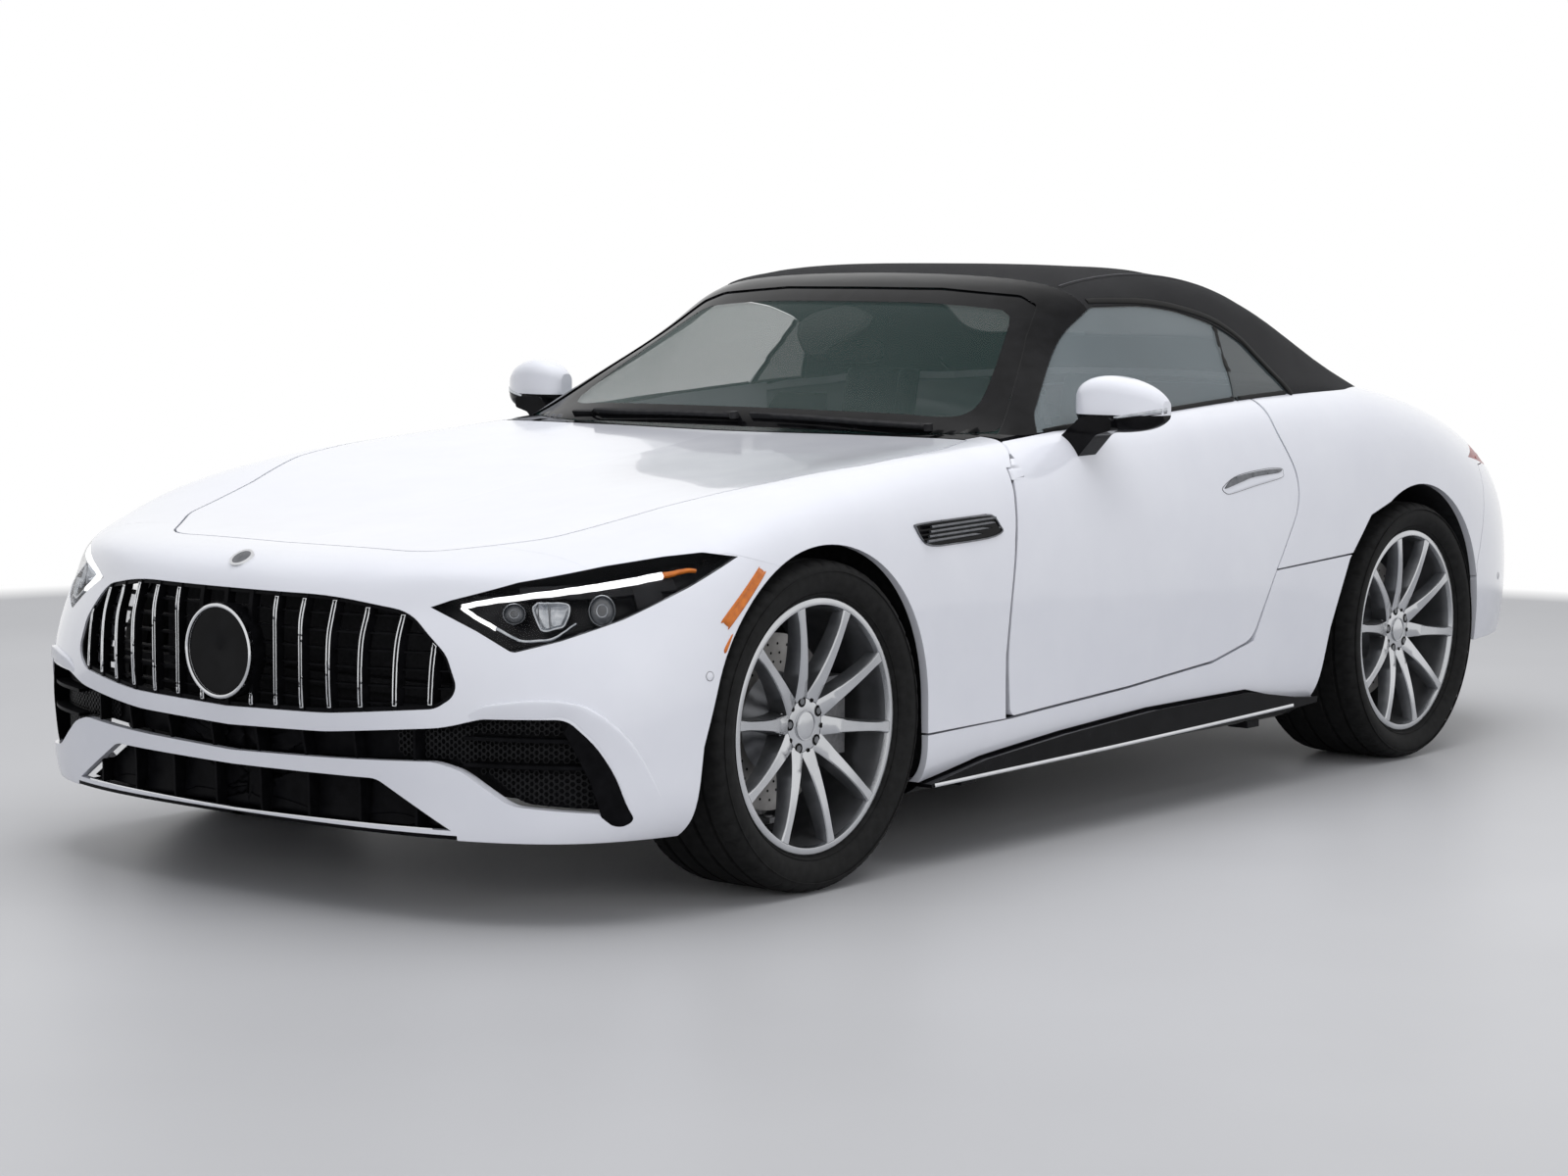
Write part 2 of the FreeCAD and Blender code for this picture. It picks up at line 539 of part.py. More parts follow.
# Doors
door = door_layer.common(door_cutter)
door = door.cut(plan_prism([(0, 500), (806, 500), (806, 2200), (0, 2200)], 940 * tall, 1100))
door = door.cut(block(0, DOOR_HINGE_X + 22, along(600), DOOR_HINGE_Y + 22, 250, 1100))
door_low, door_high = 420.0 * tall, 720.0 * tall
pin_r, hinge_r, play = size("pin_radius"), size("hinge_radius"), size("seat_clearance")
arm_high = 14.0
for z in (door_low, door_high):
    leaf = block(DOOR_HINGE_X - 14, DOOR_HINGE_X + 14, DOOR_HINGE_Y, DOOR_HINGE_Y + 30,
                 z + arm_high, z + 2 * arm_high)
    leaf = leaf.fuse(upright(DOOR_HINGE_X, DOOR_HINGE_Y, z + arm_high, z + 2 * arm_high, hinge_r))
    door = door.fuse(leaf)
    door = door.cut(upright(DOOR_HINGE_X, DOOR_HINGE_Y, z, z + 3 * arm_high, pin_r + play))
add("door_left", door)
add("door_right", mirrored(door))

# Quarter panels
quarter_zone = side_prism([(1995, 1100), (1999, 1003), (1998, 937, 120), (2081, 779, 160),
                           (1945, 580), (2330, 600), (2330, 60), (3075, 60), (3075, 520),
                           (3195, 800), (3900, 800), (3900, 1100)], 300, beyond)
lid_zone = plan_prism([(-20, 2950), (600, 2950, 60), (640, 3150, 400), (560, 3500, 500),
                       (430, 3700), (430, 3950), (-20, 3950)], 715 * tall, 1150)
lid_space = plan_prism([(-20, 2950 - gap), (600 + gap, 2950 - gap, 60), (640 + gap, 3150, 400),
                        (560 + gap, 3500, 500), (430 + gap, 3700), (430 + gap, 3950),
                        (-20, 3950)], 715 * tall - gap, 1150)
deck_space = plan_prism([(-20, 700), (815, 700), (815, 2300, 100), (700, 2660, 100),
                         (640, 2700), (-20, 2700)], 640, 1150)
TAIL_LAMP = [(1156, 825), (1330, 856), (1508, 858), (1918, 800), (1918, 745), (1508, 764)]
tail_hole = slanted_prism(TAIL_LAMP, math.degrees(math.atan2(0.8, 0.6)),
                          V(0, front_axle, 0), 4200)
quarter = skin.common(quarter_zone).cut(rear_arch).cut(lid_space).cut(deck_space)
underside = block(-10, 856 * wide, along(-950), along(4000), floor_low, 250)
deck_plan = [(-20, 2640), (560, 2640), (560, 2945, 40), (-20, 2945)]
quarter = quarter.cut(plan_prism(deck_plan, 600, 1150)).cut(tail_hole).cut(underside)
add("quarter_left", quarter)
add("quarter_right", mirrored(quarter))

deck = skin.common(plan_prism([(-20, 2700), (560 - seam, 2700), (560 - seam, 2945 - seam, 40),
                               (-20, 2945 - seam)], 640, 1150))
add("tonneau_cover", across_both(deck))

lid = skin.common(lid_zone)
lid = lid.cut(block(-10, beyond, along(2940), along(2966), 600, 2000).common(body_solid(10)))
NECK = [(-9, -6), (36, -112), (70, -163), (156, -134), (190, -44), (190, 60), (168, 60), (168, -36),
        (142, -116), (78, -142), (52, -106), (9, -2)]
neck_x = 400.0 * wide
neck = Part.Face(rounded([(neck_x - 6, BOOT_HINGE_Y + p[0], BOOT_HINGE_Z + p[1]) for p in NECK], 12))
neck = neck.extrude(V(12, 0, 0)).common(body_solid(wall - 3))
neck = neck.fuse(crosswise(BOOT_HINGE_Y, BOOT_HINGE_Z, hinge_r, neck_x - 6, neck_x + 6))
neck = neck.cut(crosswise(BOOT_HINGE_Y, BOOT_HINGE_Z, pin_r + play, neck_x - 20, neck_x + 20))
add("boot_lid", across_both(lid.fuse(neck)))

# Rear bumper
pipe_z = 262 * tall
pipe_sides = (452 * wide, 556 * wide)
pipe_holes = Part.makeCompound([
    Part.makeCylinder(size("tailpipe_radius") + gap, 900, V(x, along(3100), pipe_z), V(0, 1, 0))
    for x in pipe_sides])
rear_zone = side_prism([(3078, 60), (3078, 520), (3198, 797), (3900, 797), (3900, 60)], -10, beyond)
rear_bumper = skin.common(rear_zone).cut(rear_arch).cut(lid_space).cut(tail_hole)
rear_bumper = rear_bumper.cut(block(-10, beyond, along(2600), along(4000), floor_low, 300 * tall))
rear_bumper = rear_bumper.cut(pipe_holes)
add("rear_bumper", across_both(rear_bumper))

# Sills
sill = skin.common(side_prism(SILL_SIDE, 700, beyond)).cut(front_arch).cut(rear_arch)
add("sill_left", sill)
add("sill_right", mirrored(sill))

# Grille and intakes
forms = {}


def form(depth):
    """The left half of the body form, made once for each depth."""
    if depth not in forms:
        forms[depth] = body_solid(depth)
    return forms[depth]


def layered(shape, depth_low, depth_high):
    """A shape kept between two depths under the body's surface."""
    return shape.common(form(depth_low)).cut(form(depth_high))


def inset_front(points, step):
    """A front outline pulled in towards its own middle by a step."""
    wire = rounded([(p[0] * wide, 0, p[1] * tall) + tuple(p[2:]) for p in points])
    face = Part.Face(wire.makeOffset2D(-step))
    face.translate(V(0, along(-950), 0))
    return face.extrude(V(0, along(-600) - along(-950), 0))


def uprights(middles, half, y_low, y_high):
    """Upright slabs across the front at the given sides."""
    return [block(max(0.0, x - half), x + half, y_low, y_high, 0, 900) for x in middles]


left_half = block(0, beyond, along(-950), along(-400), 0, 800)
grille_left = grille_hole.common(left_half)
grille = layered(grille_left.cut(inset_front(mirrored_outline(GRILLE_FRONT), 9)), 6, 34)
slat_count = int(size("slat_count") // 2) + 1
slats = uprights([k * size("slat_pitch") for k in range(slat_count)], size("slat_width") / 2,
                 along(-950), along(-640))
slats = layered(Part.makeCompound(slats).common(grille_left), 3, 24)
bar_count = 6
bars = []
for k in range(bar_count):
    z = (448 + 36 * k) * tall
    bars.append(block(0, beyond, along(-950), along(-640), z, z + 4))
bars = layered(Part.makeCompound(bars).common(grille_left), 16, 40)
grille = across_both(grille.fuse([slats, bars]))
badge_z = 534 * tall
nose = V(0, -size("body_length") / 2, badge_z)
badge = Part.makeCylinder(size("badge_radius"), 40, nose, V(0, 1, 0))
badge = badge.cut(Part.makeCylinder(size("badge_radius") - 8, 4, nose, V(0, 1, 0)))
add("grille", grille.fuse(badge))

slot_cell = slot_hole.common(left_half)
lower_cell = lower_hole.common(left_half)
cells = Part.makeCompound([slot_cell, lower_cell])
mesh = layered(cells, 44, 52)
vanes = uprights([x * wide for x in (70, 210, 350, 490)], 3, along(-950), along(-450))
vanes = layered(Part.makeCompound(vanes).common(cells), 12, 46)
blades = [block(600 * wide, beyond, along(-950), along(-450), z * tall, z * tall + 7)
          for z in (330, 385)]
blades = layered(Part.makeCompound(blades).common(slot_cell), 8, 50)
FIN_FRONT = [(790, 440), (900, 440), (900, 190), (850, 190), (845, 250, 200), (836, 302, 200),
             (815, 362, 200), (790, 420)]
fin = front_prism(FIN_FRONT, -950, -450)
fin = layered(fin.common(slot_cell), 2, 50)
intakes = mesh.fuse([vanes, blades, fin, splitter])
add("front_intakes", across_both(intakes))

# Lamps
lamp = layered(lamp_hole.cut(bonnet_space), 2, 60)
add("headlamps", both(lamp))
tail_lamp = layered(tail_hole.cut(lid_space), 2, wall)
add("tail_lamps", both(tail_lamp))

# Side skirts under the sills
SKIRT_SIDE = [(395, 184), (2030, 206), (2190, 214), (2190, 226), (2120, 228), (2030, 236, 300),
              (1802, 270, 400), (1334, 268, 900), (952, 250, 900), (614, 226, 400), (395, 192)]
skirt = side_prism(SKIRT_SIDE, 880 * wide, 948 * wide).cut(body_outer)
skirt = skirt.fuse(skin.common(block(820 * wide, beyond, along(395), along(2150), 100, 190)))
skirt = skirt.cut(front_arch).cut(rear_arch).cut(sill)
add("side_skirts", both(skirt))

# Windscreen, roof and glass
WINDSCREEN_FRONT = [(-20, 1306), (255, 1305), (487, 1288, 80), (548, 1264, 30), (594, 1181),
                    (667, 1083), (775, 930), (-20, 930)]
SIDE_GLASS = [(985, 900), (1019, 962), (1052, 1003, 300), (1236, 1112, 2000), (1375, 1202, 900),
              (1500, 1262, 60), (1700, 1265, 900), (1836, 1250, 600), (1997, 1213, 400),
              (2104, 1152, 200), (2150, 1080), (2186, 1023), (2190, 900)]
DIVIDER_TOP, DIVIDER_FOOT = 2003, 1898
header_y = 1482
windscreen_hole = front_prism(WINDSCREEN_FRONT, 700, 1460)
side_hole = side_prism(SIDE_GLASS, 560, beyond)
glass_depth = size("glass_inset")
roof_above = roof_outer.cut(body_outer)
glass_layer = roof_solid(glass_depth).cut(roof_solid(glass_depth + size("glass_wall")))
glass_layer = glass_layer.cut(body_outer)
pillar_zone = side_prism([(700, 800), (700, 1400), (header_y, 1400), (header_y, 1250),
                          (1010, 940), (990, 800)], -10, beyond)
frame = roof_above.cut(roof_solid(size("frame_wall"))).common(pillar_zone)
frame = frame.cut(windscreen_hole).cut(side_hole)
frame = frame.fuse(scuttle)
frame = frame.fuse(crosswise(BONNET_HINGE_Y, BONNET_HINGE_Z, small_pin, lug_x - 22, lug_x + 22))
add("windscreen_frame", across_both(frame))
add("windscreen", across_both(glass_layer.common(windscreen_hole)))

behind_zone = block(-10, beyond, along(header_y), along(3000), 800, 1500)
rear_light = plan_prism([(-20, 2250), (420, 2270, 70), (480, 2560, 70), (-20, 2600)], 900, 1500)
soft_top = roof_above.cut(roof_solid(size("top_wall"))).common(behind_zone)
add("soft_top", across_both(soft_top.cut(side_hole).cut(rear_light)))

side_wire = rounded([(560, along(p[0]), p[1] * tall) + tuple(p[2:]) for p in SIDE_GLASS])
glass_hole = Part.Face(side_wire.makeOffset2D(-gap)).extrude(V(beyond - 560, 0, 0))
door_divider = side_prism([(DIVIDER_TOP, 1400), (DIVIDER_TOP, 1215), (DIVIDER_FOOT, 1000),
                           (DIVIDER_FOOT - 10, 800), (900, 800), (900, 1400)], 560, beyond)
clear_of_quarter = side_prism([(900, 800), (900, 1400), (2100, 1400), (1985, 1010), (1985, 800)],
                              560, beyond)
door_glass = glass_layer.common(glass_hole).common(door_divider).common(clear_of_quarter)
add("door_glass_left", door_glass)
add("door_glass_right", mirrored(door_glass))
rear_side = side_prism([(DIVIDER_TOP + 6, 1400), (DIVIDER_TOP + 6, 1215),
                        (DIVIDER_FOOT + 6, 1000), (DIVIDER_FOOT, 800), (2300, 800),
                        (2300, 1400)], 560, beyond)
quarter_glass = glass_layer.common(side_hole).common(rear_side)
rear_window = across_both(glass_layer.common(rear_light))
add("rear_glass", Part.makeCompound([rear_window, quarter_glass, mirrored(quarter_glass)]))

# Mirrors
MIRROR = [(838, 1130, 1172, 1002, 1062, 18), (864, 1106, 1182, 977, 1084, 30),
          (908, 1098, 1192, 965, 1098, 38), (962, 1106, 1198, 963, 1097, 38),
          (1014, 1124, 1202, 968, 1082, 32), (1048, 1148, 1204, 980, 1060, 22),
          (1064, 1166, 1202, 994, 1040, 13)]
rings = []
for x, front, back, low, high, corner in MIRROR:
    spots = ((front, low), (back, low), (back, high), (front, high))
    rings.append(rounded([tuple(at(x, y, z)) for y, z in spots], corner))
head = Part.makeLoft(rings, True)
foot = front_prism([(822, 896, 10), (868, 896, 10), (925, 958, 20), (968, 970, 10),
                    (968, 1000, 10), (880, 1000, 20), (822, 950, 10)], 1085, 1160)
mirror = head.fuse(foot).cut(body_outer)
add("mirror_left", mirror)
add("mirror_right", mirrored(mirror))

# Floor pan with its walls, posts and hinge arms, left half first
floor_top = 150 + size("floor_wall")
tunnel_x, tunnel_z = size("tunnel_width") / 2, 150 + size("tunnel_height")
sheet_wall = size("floor_wall")
pan = span(0, 1000, 640, 2345, 150, floor_top)
pan = pan.fuse(block(0, tunnel_x, along(640), along(2345), 150, tunnel_z))
pieces = [
    span(760, 1000, 640, 2345, 160, 296), span(0, 742, 640, 655, 164, 880),
    span(480, 1000, 412, 427, 200, 880), span(560, 742, 427, 640, 200, 400),
    span(740, 790, 790, 872, 160, 880), span(740, 788, 876, 900, 160, 1000),
    span(700, 1000, 2084, 2140, 160, 990), span(0, 560, 2330, 2345, 164, 880),
    span(0, 560, 2330, 3800, 480, 495), span(545, 560, 2100, 3570, 480, 895),
    span(0, 560, 2330, 2845, 870, 885), span(0, 560, 3560, 3570, 480, 690),
    span(480, 520, 2720, 2800, 890, 1100), span(560, 640, 2345, 2400, 700, 895),
]
pan = pan.fuse(pieces).cut(rear_arch).fuse(rear_liner).common(form(wall))
pan = pan.cut(block(0, tunnel_x - sheet_wall, along(630), along(2350), 100, tunnel_z - sheet_wall))
pad_spots = [(740, 720), (740, 2040)]
pan = pan.fuse([span(x, x + 60, y, y + 60, 138, 200) for x, y in pad_spots])
for z in (door_low, door_high):
    arm = block(780 * wide, DOOR_HINGE_X, DOOR_HINGE_Y - 12, DOOR_HINGE_Y + 12, z, z + arm_high - 0.5)
    arm = arm.fuse(upright(DOOR_HINGE_X, DOOR_HINGE_Y, z, z + arm_high - 0.5, hinge_r))
    arm = arm.fuse(upright(DOOR_HINGE_X, DOOR_HINGE_Y, z, z + 2 * arm_high + 4, pin_r))
    pan = pan.fuse(arm)
plate_low = 880.0 * tall
plate = block(neck_x + 12, neck_x + 22, BOOT_HINGE_Y - 62, BOOT_HINGE_Y + 12, plate_low,
              BOOT_HINGE_Z + 12)
pan = pan.fuse(plate).fuse(crosswise(BOOT_HINGE_Y, BOOT_HINGE_Z, pin_r, neck_x - 8, neck_x + 22))
add("floor_pan", across_both(pan))

# Diffuser under the rear bumper
diffuser = skin.common(block(-10, 640 * wide, along(3300), along(4000), 150, 300 * tall))
add("diffuser", across_both(diffuser.cut(pipe_holes)))

# Dashboard, console and rear bench
column_y, column_z = along(1310), 806.0 * tall
rake = math.radians(size("column_rake"))
column = V(0, -math.cos(rake), -math.sin(rake))
column_spot = V(372 * wide, column_y, column_z)
dashboard = side_slab([(880, 640), (1050, 610), (1120, 690), (1128, 780), (1060, 872), (960, 925),
                       (902, 915)], -740, 740, 30)
shroud = Part.makeCylinder(42, 190, column_spot + column * 70, column)
shroud = shroud.cut(Part.makeCylinder(15 + play, 400, column_spot, column))
dashboard = dashboard.fuse(shroud)
dashboard = dashboard.cut(Part.makeCylinder(15 + play, 330, column_spot, column))
dashboard = dashboard.cut(form(0).cut(form(wall + 4))).cut(mirrored(form(0).cut(form(wall + 4))))
add("dashboard", dashboard)
console = side_slab([(1060, tunnel_z), (1060, 600), (1128, 660), (1300, 560), (1420, 520),
                     (1900, 520), (1960, 470), (1960, tunnel_z)], -105, 105, 20)
add("centre_console", console.cut(dashboard))
bench = side_slab([(1990, floor_top), (1990, 430), (2200, 400), (2250, 800), (2330, 800),
                   (2330, floor_top)], -540, 540, 25)
bench = bench.cut(block(-tunnel_x, tunnel_x, along(1900), along(2345), 100, tunnel_z))
add("rear_seat", bench)


# Seats
def seat(middle):
    """One bucket seat on two rails."""
    half = size("seat_width") / 2
    x_low, x_high = middle - half, middle + half
    cushion = side_prism([(1390, 250), (1380, 400), (1420, 450), (1880, 400), (1880, 250)],
                         x_low, x_high, 30)
    back = side_prism([(1790, 300), (1810, 420), (1925, 930), (1975, 930), (2010, 880), (1935, 300)],
                      x_low + 12, x_high - 12, 35)
    rest = side_prism([(1925, 900), (1950, 1075), (1995, 1075), (1990, 900)],
                      middle - 130, middle + 130, 25)
    rails = [block(x, x + 40, along(1420), along(1860), floor_top, 260)
             for x in (x_low + 50, x_high - 90)]
    return cushion.fuse([back, rest] + rails)


seat_x = 372 * wide
add("seat_left", seat(seat_x))
add("seat_right", seat(-seat_x))

# Running gear, from parametric primitives tied to the sheet
FRONT_Y = "(-Sizes.body_length / 2 + Sizes.front_overhang)"
REAR_Y = "(-Sizes.body_length / 2 + Sizes.front_overhang + Sizes.wheelbase)"
TURNS = {"x": FreeCAD.Rotation(V(0, 1, 0), 90), "y": FreeCAD.Rotation(V(1, 0, 0), -90),
         "z": FreeCAD.Rotation()}
counter = [0]


def primitive(kind, spot, sizes, rotation=FreeCAD.Rotation()):
    """A Part primitive whose place and sizes are expressions."""
    counter[0] += 1
    item = doc.addObject("Part::" + kind, "Piece%d" % counter[0])
    item.Placement = FreeCAD.Placement(V(0, 0, 0), rotation)
    for axis, value in zip("xyz", spot):
        item.setExpression("Placement.Base." + axis, str(value))
    for key, value in sizes.items():
        item.setExpression(key, str(value))
    return item


def box(spot, length, width, height):
    return primitive("Box", spot, {"Length": length, "Width": width, "Height": height})


def rod(spot, radius, height, axis="x"):
    return primitive("Cylinder", spot, {"Radius": radius, "Height": height}, TURNS[axis])


def fused(items):
    counter[0] += 1
    item = doc.addObject("Part::MultiFuse", "Fused%d" % counter[0])
    item.Shapes = items
    return item


def without(base, tool):
    counter[0] += 1
    item = doc.addObject("Part::Cut", "Cut%d" % counter[0])
    item.Base = base
    item.Tool = tool
    return item


def keep(item, name):
    """Marks an object as one of the sub-parts."""
    item.Label = name
    nodes.append(item)
    return item


def turned(profile, spot):
    """A PartDesign body turned round its own X axis from (x, radius) expressions."""
    counter[0] += 1
    body = doc.addObject("PartDesign::Body", "Turned%d" % counter[0])
    sketch = body.newObject("Sketcher::SketchObject", "Profile%d" % counter[0])
    guess = [V(math.cos(k * 2 * math.pi / len(profile)) * 100,
               400 + math.sin(k * 2 * math.pi / len(profile)) * 100, 0)
             for k in range(len(profile))]
    for k, start in enumerate(guess):
        sketch.addGeometry(Part.LineSegment(start, guess[(k + 1) % len(guess)]), False)
    for k in range(len(profile)):
        following = (k + 1) % len(profile)
        sketch.addConstraint(Sketcher.Constraint("Coincident", k, 2, following, 1))
    for k, (x, radius) in enumerate(profile):
        for kind, value in (("DistanceX", x), ("DistanceY", radius)):
            index = sketch.addConstraint(Sketcher.Constraint(kind, -1, 1, k, 1, 1.0))
            sketch.setExpression("Constraints[%d]" % index, str(value))
    turn = body.newObject("PartDesign::Revolution", "Revolution%d" % counter[0])
    turn.Profile = sketch
    turn.ReferenceAxis = (sketch, ["H_Axis"])
    turn.Angle = 360.0
    for axis, value in zip("xyz", spot):
        body.setExpression("Placement.Base." + axis, str(value))
    return body


def corner_of(end, side):
    """Expressions for the middle of one wheel, its width and its sign."""
    sign = "1" if side == "left" else "-1"
    spot = ("%s * Sizes.%s_track / 2" % (sign, end), FRONT_Y if end == "front" else REAR_Y,
            "Sizes.%s_tyre_radius" % end)
    return spot, "Sizes.%s_tyre_width" % end, sign


def tyre(end, side):
    spot, width, sign = corner_of(end, side)
    radius = "Sizes.%s_tyre_radius" % end
    half = [("0.38", "Sizes.rim_bead_radius + 1"), ("0.5", radius)]
    profile = [("%s * %s" % (share, width), r) for share, r in half]
    profile += [("-%s * %s" % (share, width), r) for share, r in reversed(half)]
    return turned(profile, spot)


def wheel(end, side):
    """Rim, spokes, hub and disc of one wheel."""
    spot, width, sign = corner_of(end, side)
    bead = "Sizes.rim_bead_radius + 1"
    lip = [("0.43", "Sizes.rim_radius"), ("0.405", "Sizes.rim_radius"), ("0.385", bead)]
    profile = [("%s * %s" % (share, width), r) for share, r in lip]
    profile += [("-%s * %s" % (share, width), r) for share, r in reversed(lip)]
    profile += [("-0.43 * %s" % width, bead + " - Sizes.rim_wall"),
                ("0.40 * %s" % width, bead + " - Sizes.rim_wall"),
                ("0.43 * %s" % width, bead + " + 2")]
    items = [turned(profile, spot)]
    face = "0.40 * %s" % width
    hub = [(face, "Sizes.hub_radius"), (face + " - Sizes.hub_depth", "Sizes.hub_radius"),
           ("-4", "60"), ("-4", "Sizes.disc_radius"), ("-4 - Sizes.disc_wall", "Sizes.disc_radius"),
           ("-4 - Sizes.disc_wall", "Sizes.axle_radius + Sizes.seat_clearance"),
           ("52", "Sizes.axle_radius + Sizes.seat_clearance"), ("52", "0.5"), (face, "0.5")]
    hub = [("%s * (%s)" % (sign, x), r) for x, r in hub]
    items.append(turned(hub, spot))
    count = int(size("spoke_count"))
    for k in range(count):
        turn = FreeCAD.Rotation(V(1, 0, 0), 360.0 * k / count)
        across = turn.multVec(V(0, -size("spoke_width") / 2, 66))
        x = "%s + %s * (0.40 * %s) - %s" % (spot[0], sign, width,
                                            "Sizes.spoke_depth" if side == "left" else "0")
        base = (x, "%s + %s" % (spot[1], across.y), "%s + %s" % (spot[2], across.z))
        items.append(primitive("Box", base, {"Length": "Sizes.spoke_depth",
                                             "Width": "Sizes.spoke_width",
                                             "Height": "Sizes.rim_bead_radius - 70"}, turn))
    return fused(items)


def placed_box(spot, sign, x_low, x_high, y_low, y_high, z_low, z_high):
    """A box beside a wheel, its x measured outboard from the wheel's middle."""
    start = x_low if sign == "1" else "-(%s)" % x_high
    base = ("%s + %s" % (spot[0], start), "%s + %s" % (spot[1], y_low),
            "%s + %s" % (spot[2], z_low))
    return box(base, "(%s) - (%s)" % (x_high, x_low), "(%s) - (%s)" % (y_high, y_low),
               "(%s) - (%s)" % (z_high, z_low))


def carrier(end, side, rearward):
    """Upright, axle and caliper of one wheel."""
    spot, width, sign = corner_of(end, side)

    def part(*spans):
        return placed_box(spot, sign, *spans)

    axle_start = "%s - 80" % spot[0] if sign == "1" else "%s - 50" % spot[0]
    items = [part(-80, -56, -28, 28, -223, 223),
             rod((axle_start, spot[1], spot[2]), "Sizes.axle_radius", 130),
             part(-80, 0, -16, 16, 211, 223), part(-80, 0, -16, 16, -223, -211)]
    near, far = ("28", "218") if rearward else ("-218", "-28")
    items.append(part(-80, -56, near, far, -40, 40))
    caliper = part(-70, 26, "112" if rearward else "-218", "218" if rearward else "-112", -88, 88)
    slot = part("-13 - Sizes.disc_wall", 5, "0" if rearward else "-205",
                "205" if rearward else "0", -120, 120)
    items.append(without(caliper, slot))
    return items, spot, sign


for end in ("front", "rear"):
    for side in ("left", "right"):
        keep(wheel(end, side), "wheel_%s_%s" % (end, side))
        keep(tyre(end, side), "tyre_%s_%s" % (end, side))

# Knuckles, which turn on their kingpins
for side in ("left", "right"):
    items, spot, sign = carrier("front", side, True)
    king_x = "%s - %s * 20" % (spot[0], sign)
    for z in ("208", "-240"):
        items.append(rod((king_x, spot[1], "%s + %s" % (spot[2], z)), "Sizes.kingpin_radius", 32, "z"))
    keep(fused(items), "knuckle_%s" % side)


def arms(end, side, inner_x, bored):
    """Upper and lower arm of one wheel, reaching in to a tower."""
    spot, width, sign = corner_of(end, side)
    items = []
    for z in ("224", "-238"):
        start = inner_x if sign == "1" else "-(Sizes.%s_track / 2 - 20)" % end
        length = "Sizes.%s_track / 2 - 20 - %s" % (end, inner_x)
        height = "%s + %s" % (spot[2], z)
        items.append(box((start, spot[1] + " - 12", height), length, 24, 12))
        items.append(rod((spot[0] + " - %s * 20" % sign, spot[1], height), 22, 12, "z"))
    arm = fused(items)
    if bored:
        hole = rod((spot[0] + " - %s * 20" % sign, spot[1], spot[2] + " - 300"),
                   "Sizes.kingpin_radius + Sizes.seat_clearance", 600, "z")
        arm = without(arm, hole)
    tower_x = "%s - 30" % inner_x if sign == "1" else "-(%s + 5)" % inner_x
    tower = box((tower_x, spot[1] + " - 60", "120"), 35, 120, "%s + 240 - 120" % spot[2])
    return [arm, tower]


# Front subframe: towers, rails, cross members and engine mounts
front = arms("front", "left", 470, True) + arms("front", "right", 470, True)
for x in (380, -440):
    front.append(box((x, FRONT_Y + " - 640", 300), 60, 1280, 80))
for x in (440, -475):
    front.append(box((x, FRONT_Y + " - 60", 128), 35, 120, 252))
front.append(box(("-475", FRONT_Y + " - 60", 128), 950, 120, 60))
front.append(box(("-440", FRONT_Y + " - 640", 300), 880, 40, 80))
front.append(box(("-420", FRONT_Y + " - 655", 215), 840, 35, 420))
for x in (240, -380):
    front.append(box((x, FRONT_Y + " + 250", 330), 140, 60, 50))
front.append(box(("-640", FRONT_Y + " - 690", 450), 1280, 35, 30))
keep(fused(front), "front_subframe")

# Rear suspension: carriers, arms, cross members, final drive and half shafts
rear = []
for side in ("left", "right"):
    items, spot, sign = carrier("rear", side, False)
    rear += items + arms("rear", side, 608, False)
    rear.append(rod((("250" if sign == "1" else "-Sizes.rear_track / 2 + 79"), spot[1], spot[2]),
                    16, "Sizes.rear_track / 2 - 79 - 250", "x"))
    rear.append(box(("200" if sign == "1" else "-300", REAR_Y + " - 60", 150), 100, 120, 170))
    rear.append(box(("560.2" if sign == "1" else "-580.2", REAR_Y + " - 40", 510), 20, 80, 60))
rear.append(box(("-613", REAR_Y + " - 60", 120), 1226, 120, 58))
rear.append(rod(("-260", REAR_Y, "Sizes.rear_tyre_radius"), 90, 520, "x"))
keep(fused(rear), "rear_suspension")

engine = box(("-Sizes.engine_width / 2", FRONT_Y + " + 90", 330), "Sizes.engine_width",
             "Sizes.engine_length", "Sizes.engine_height")
keep(engine, "engine_block")

# Exhaust: two pipes with mufflers and four tailpipes
exhaust = []
for sign in (1, -1):
    exhaust.append(rod((sign * 60, FRONT_Y + " + 600", 225), "Sizes.exhaust_radius", 2480, "y"))
    exhaust.append(box((sign * 310 - 230, REAR_Y + " + 300", 195), 460, 260, 120))
    exhaust.append(box((sign * 330 - 10, REAR_Y + " + 400", 310), 20, 20, 170))
    for x in (452, 556):
        spot = ("%d * Sizes.body_width / 1915" % (sign * x), REAR_Y + " + 500",
                "262 * Sizes.body_height / 1368")
        exhaust.append(rod(spot, "Sizes.tailpipe_radius", 480, "y"))
keep(fused(exhaust), "exhaust")

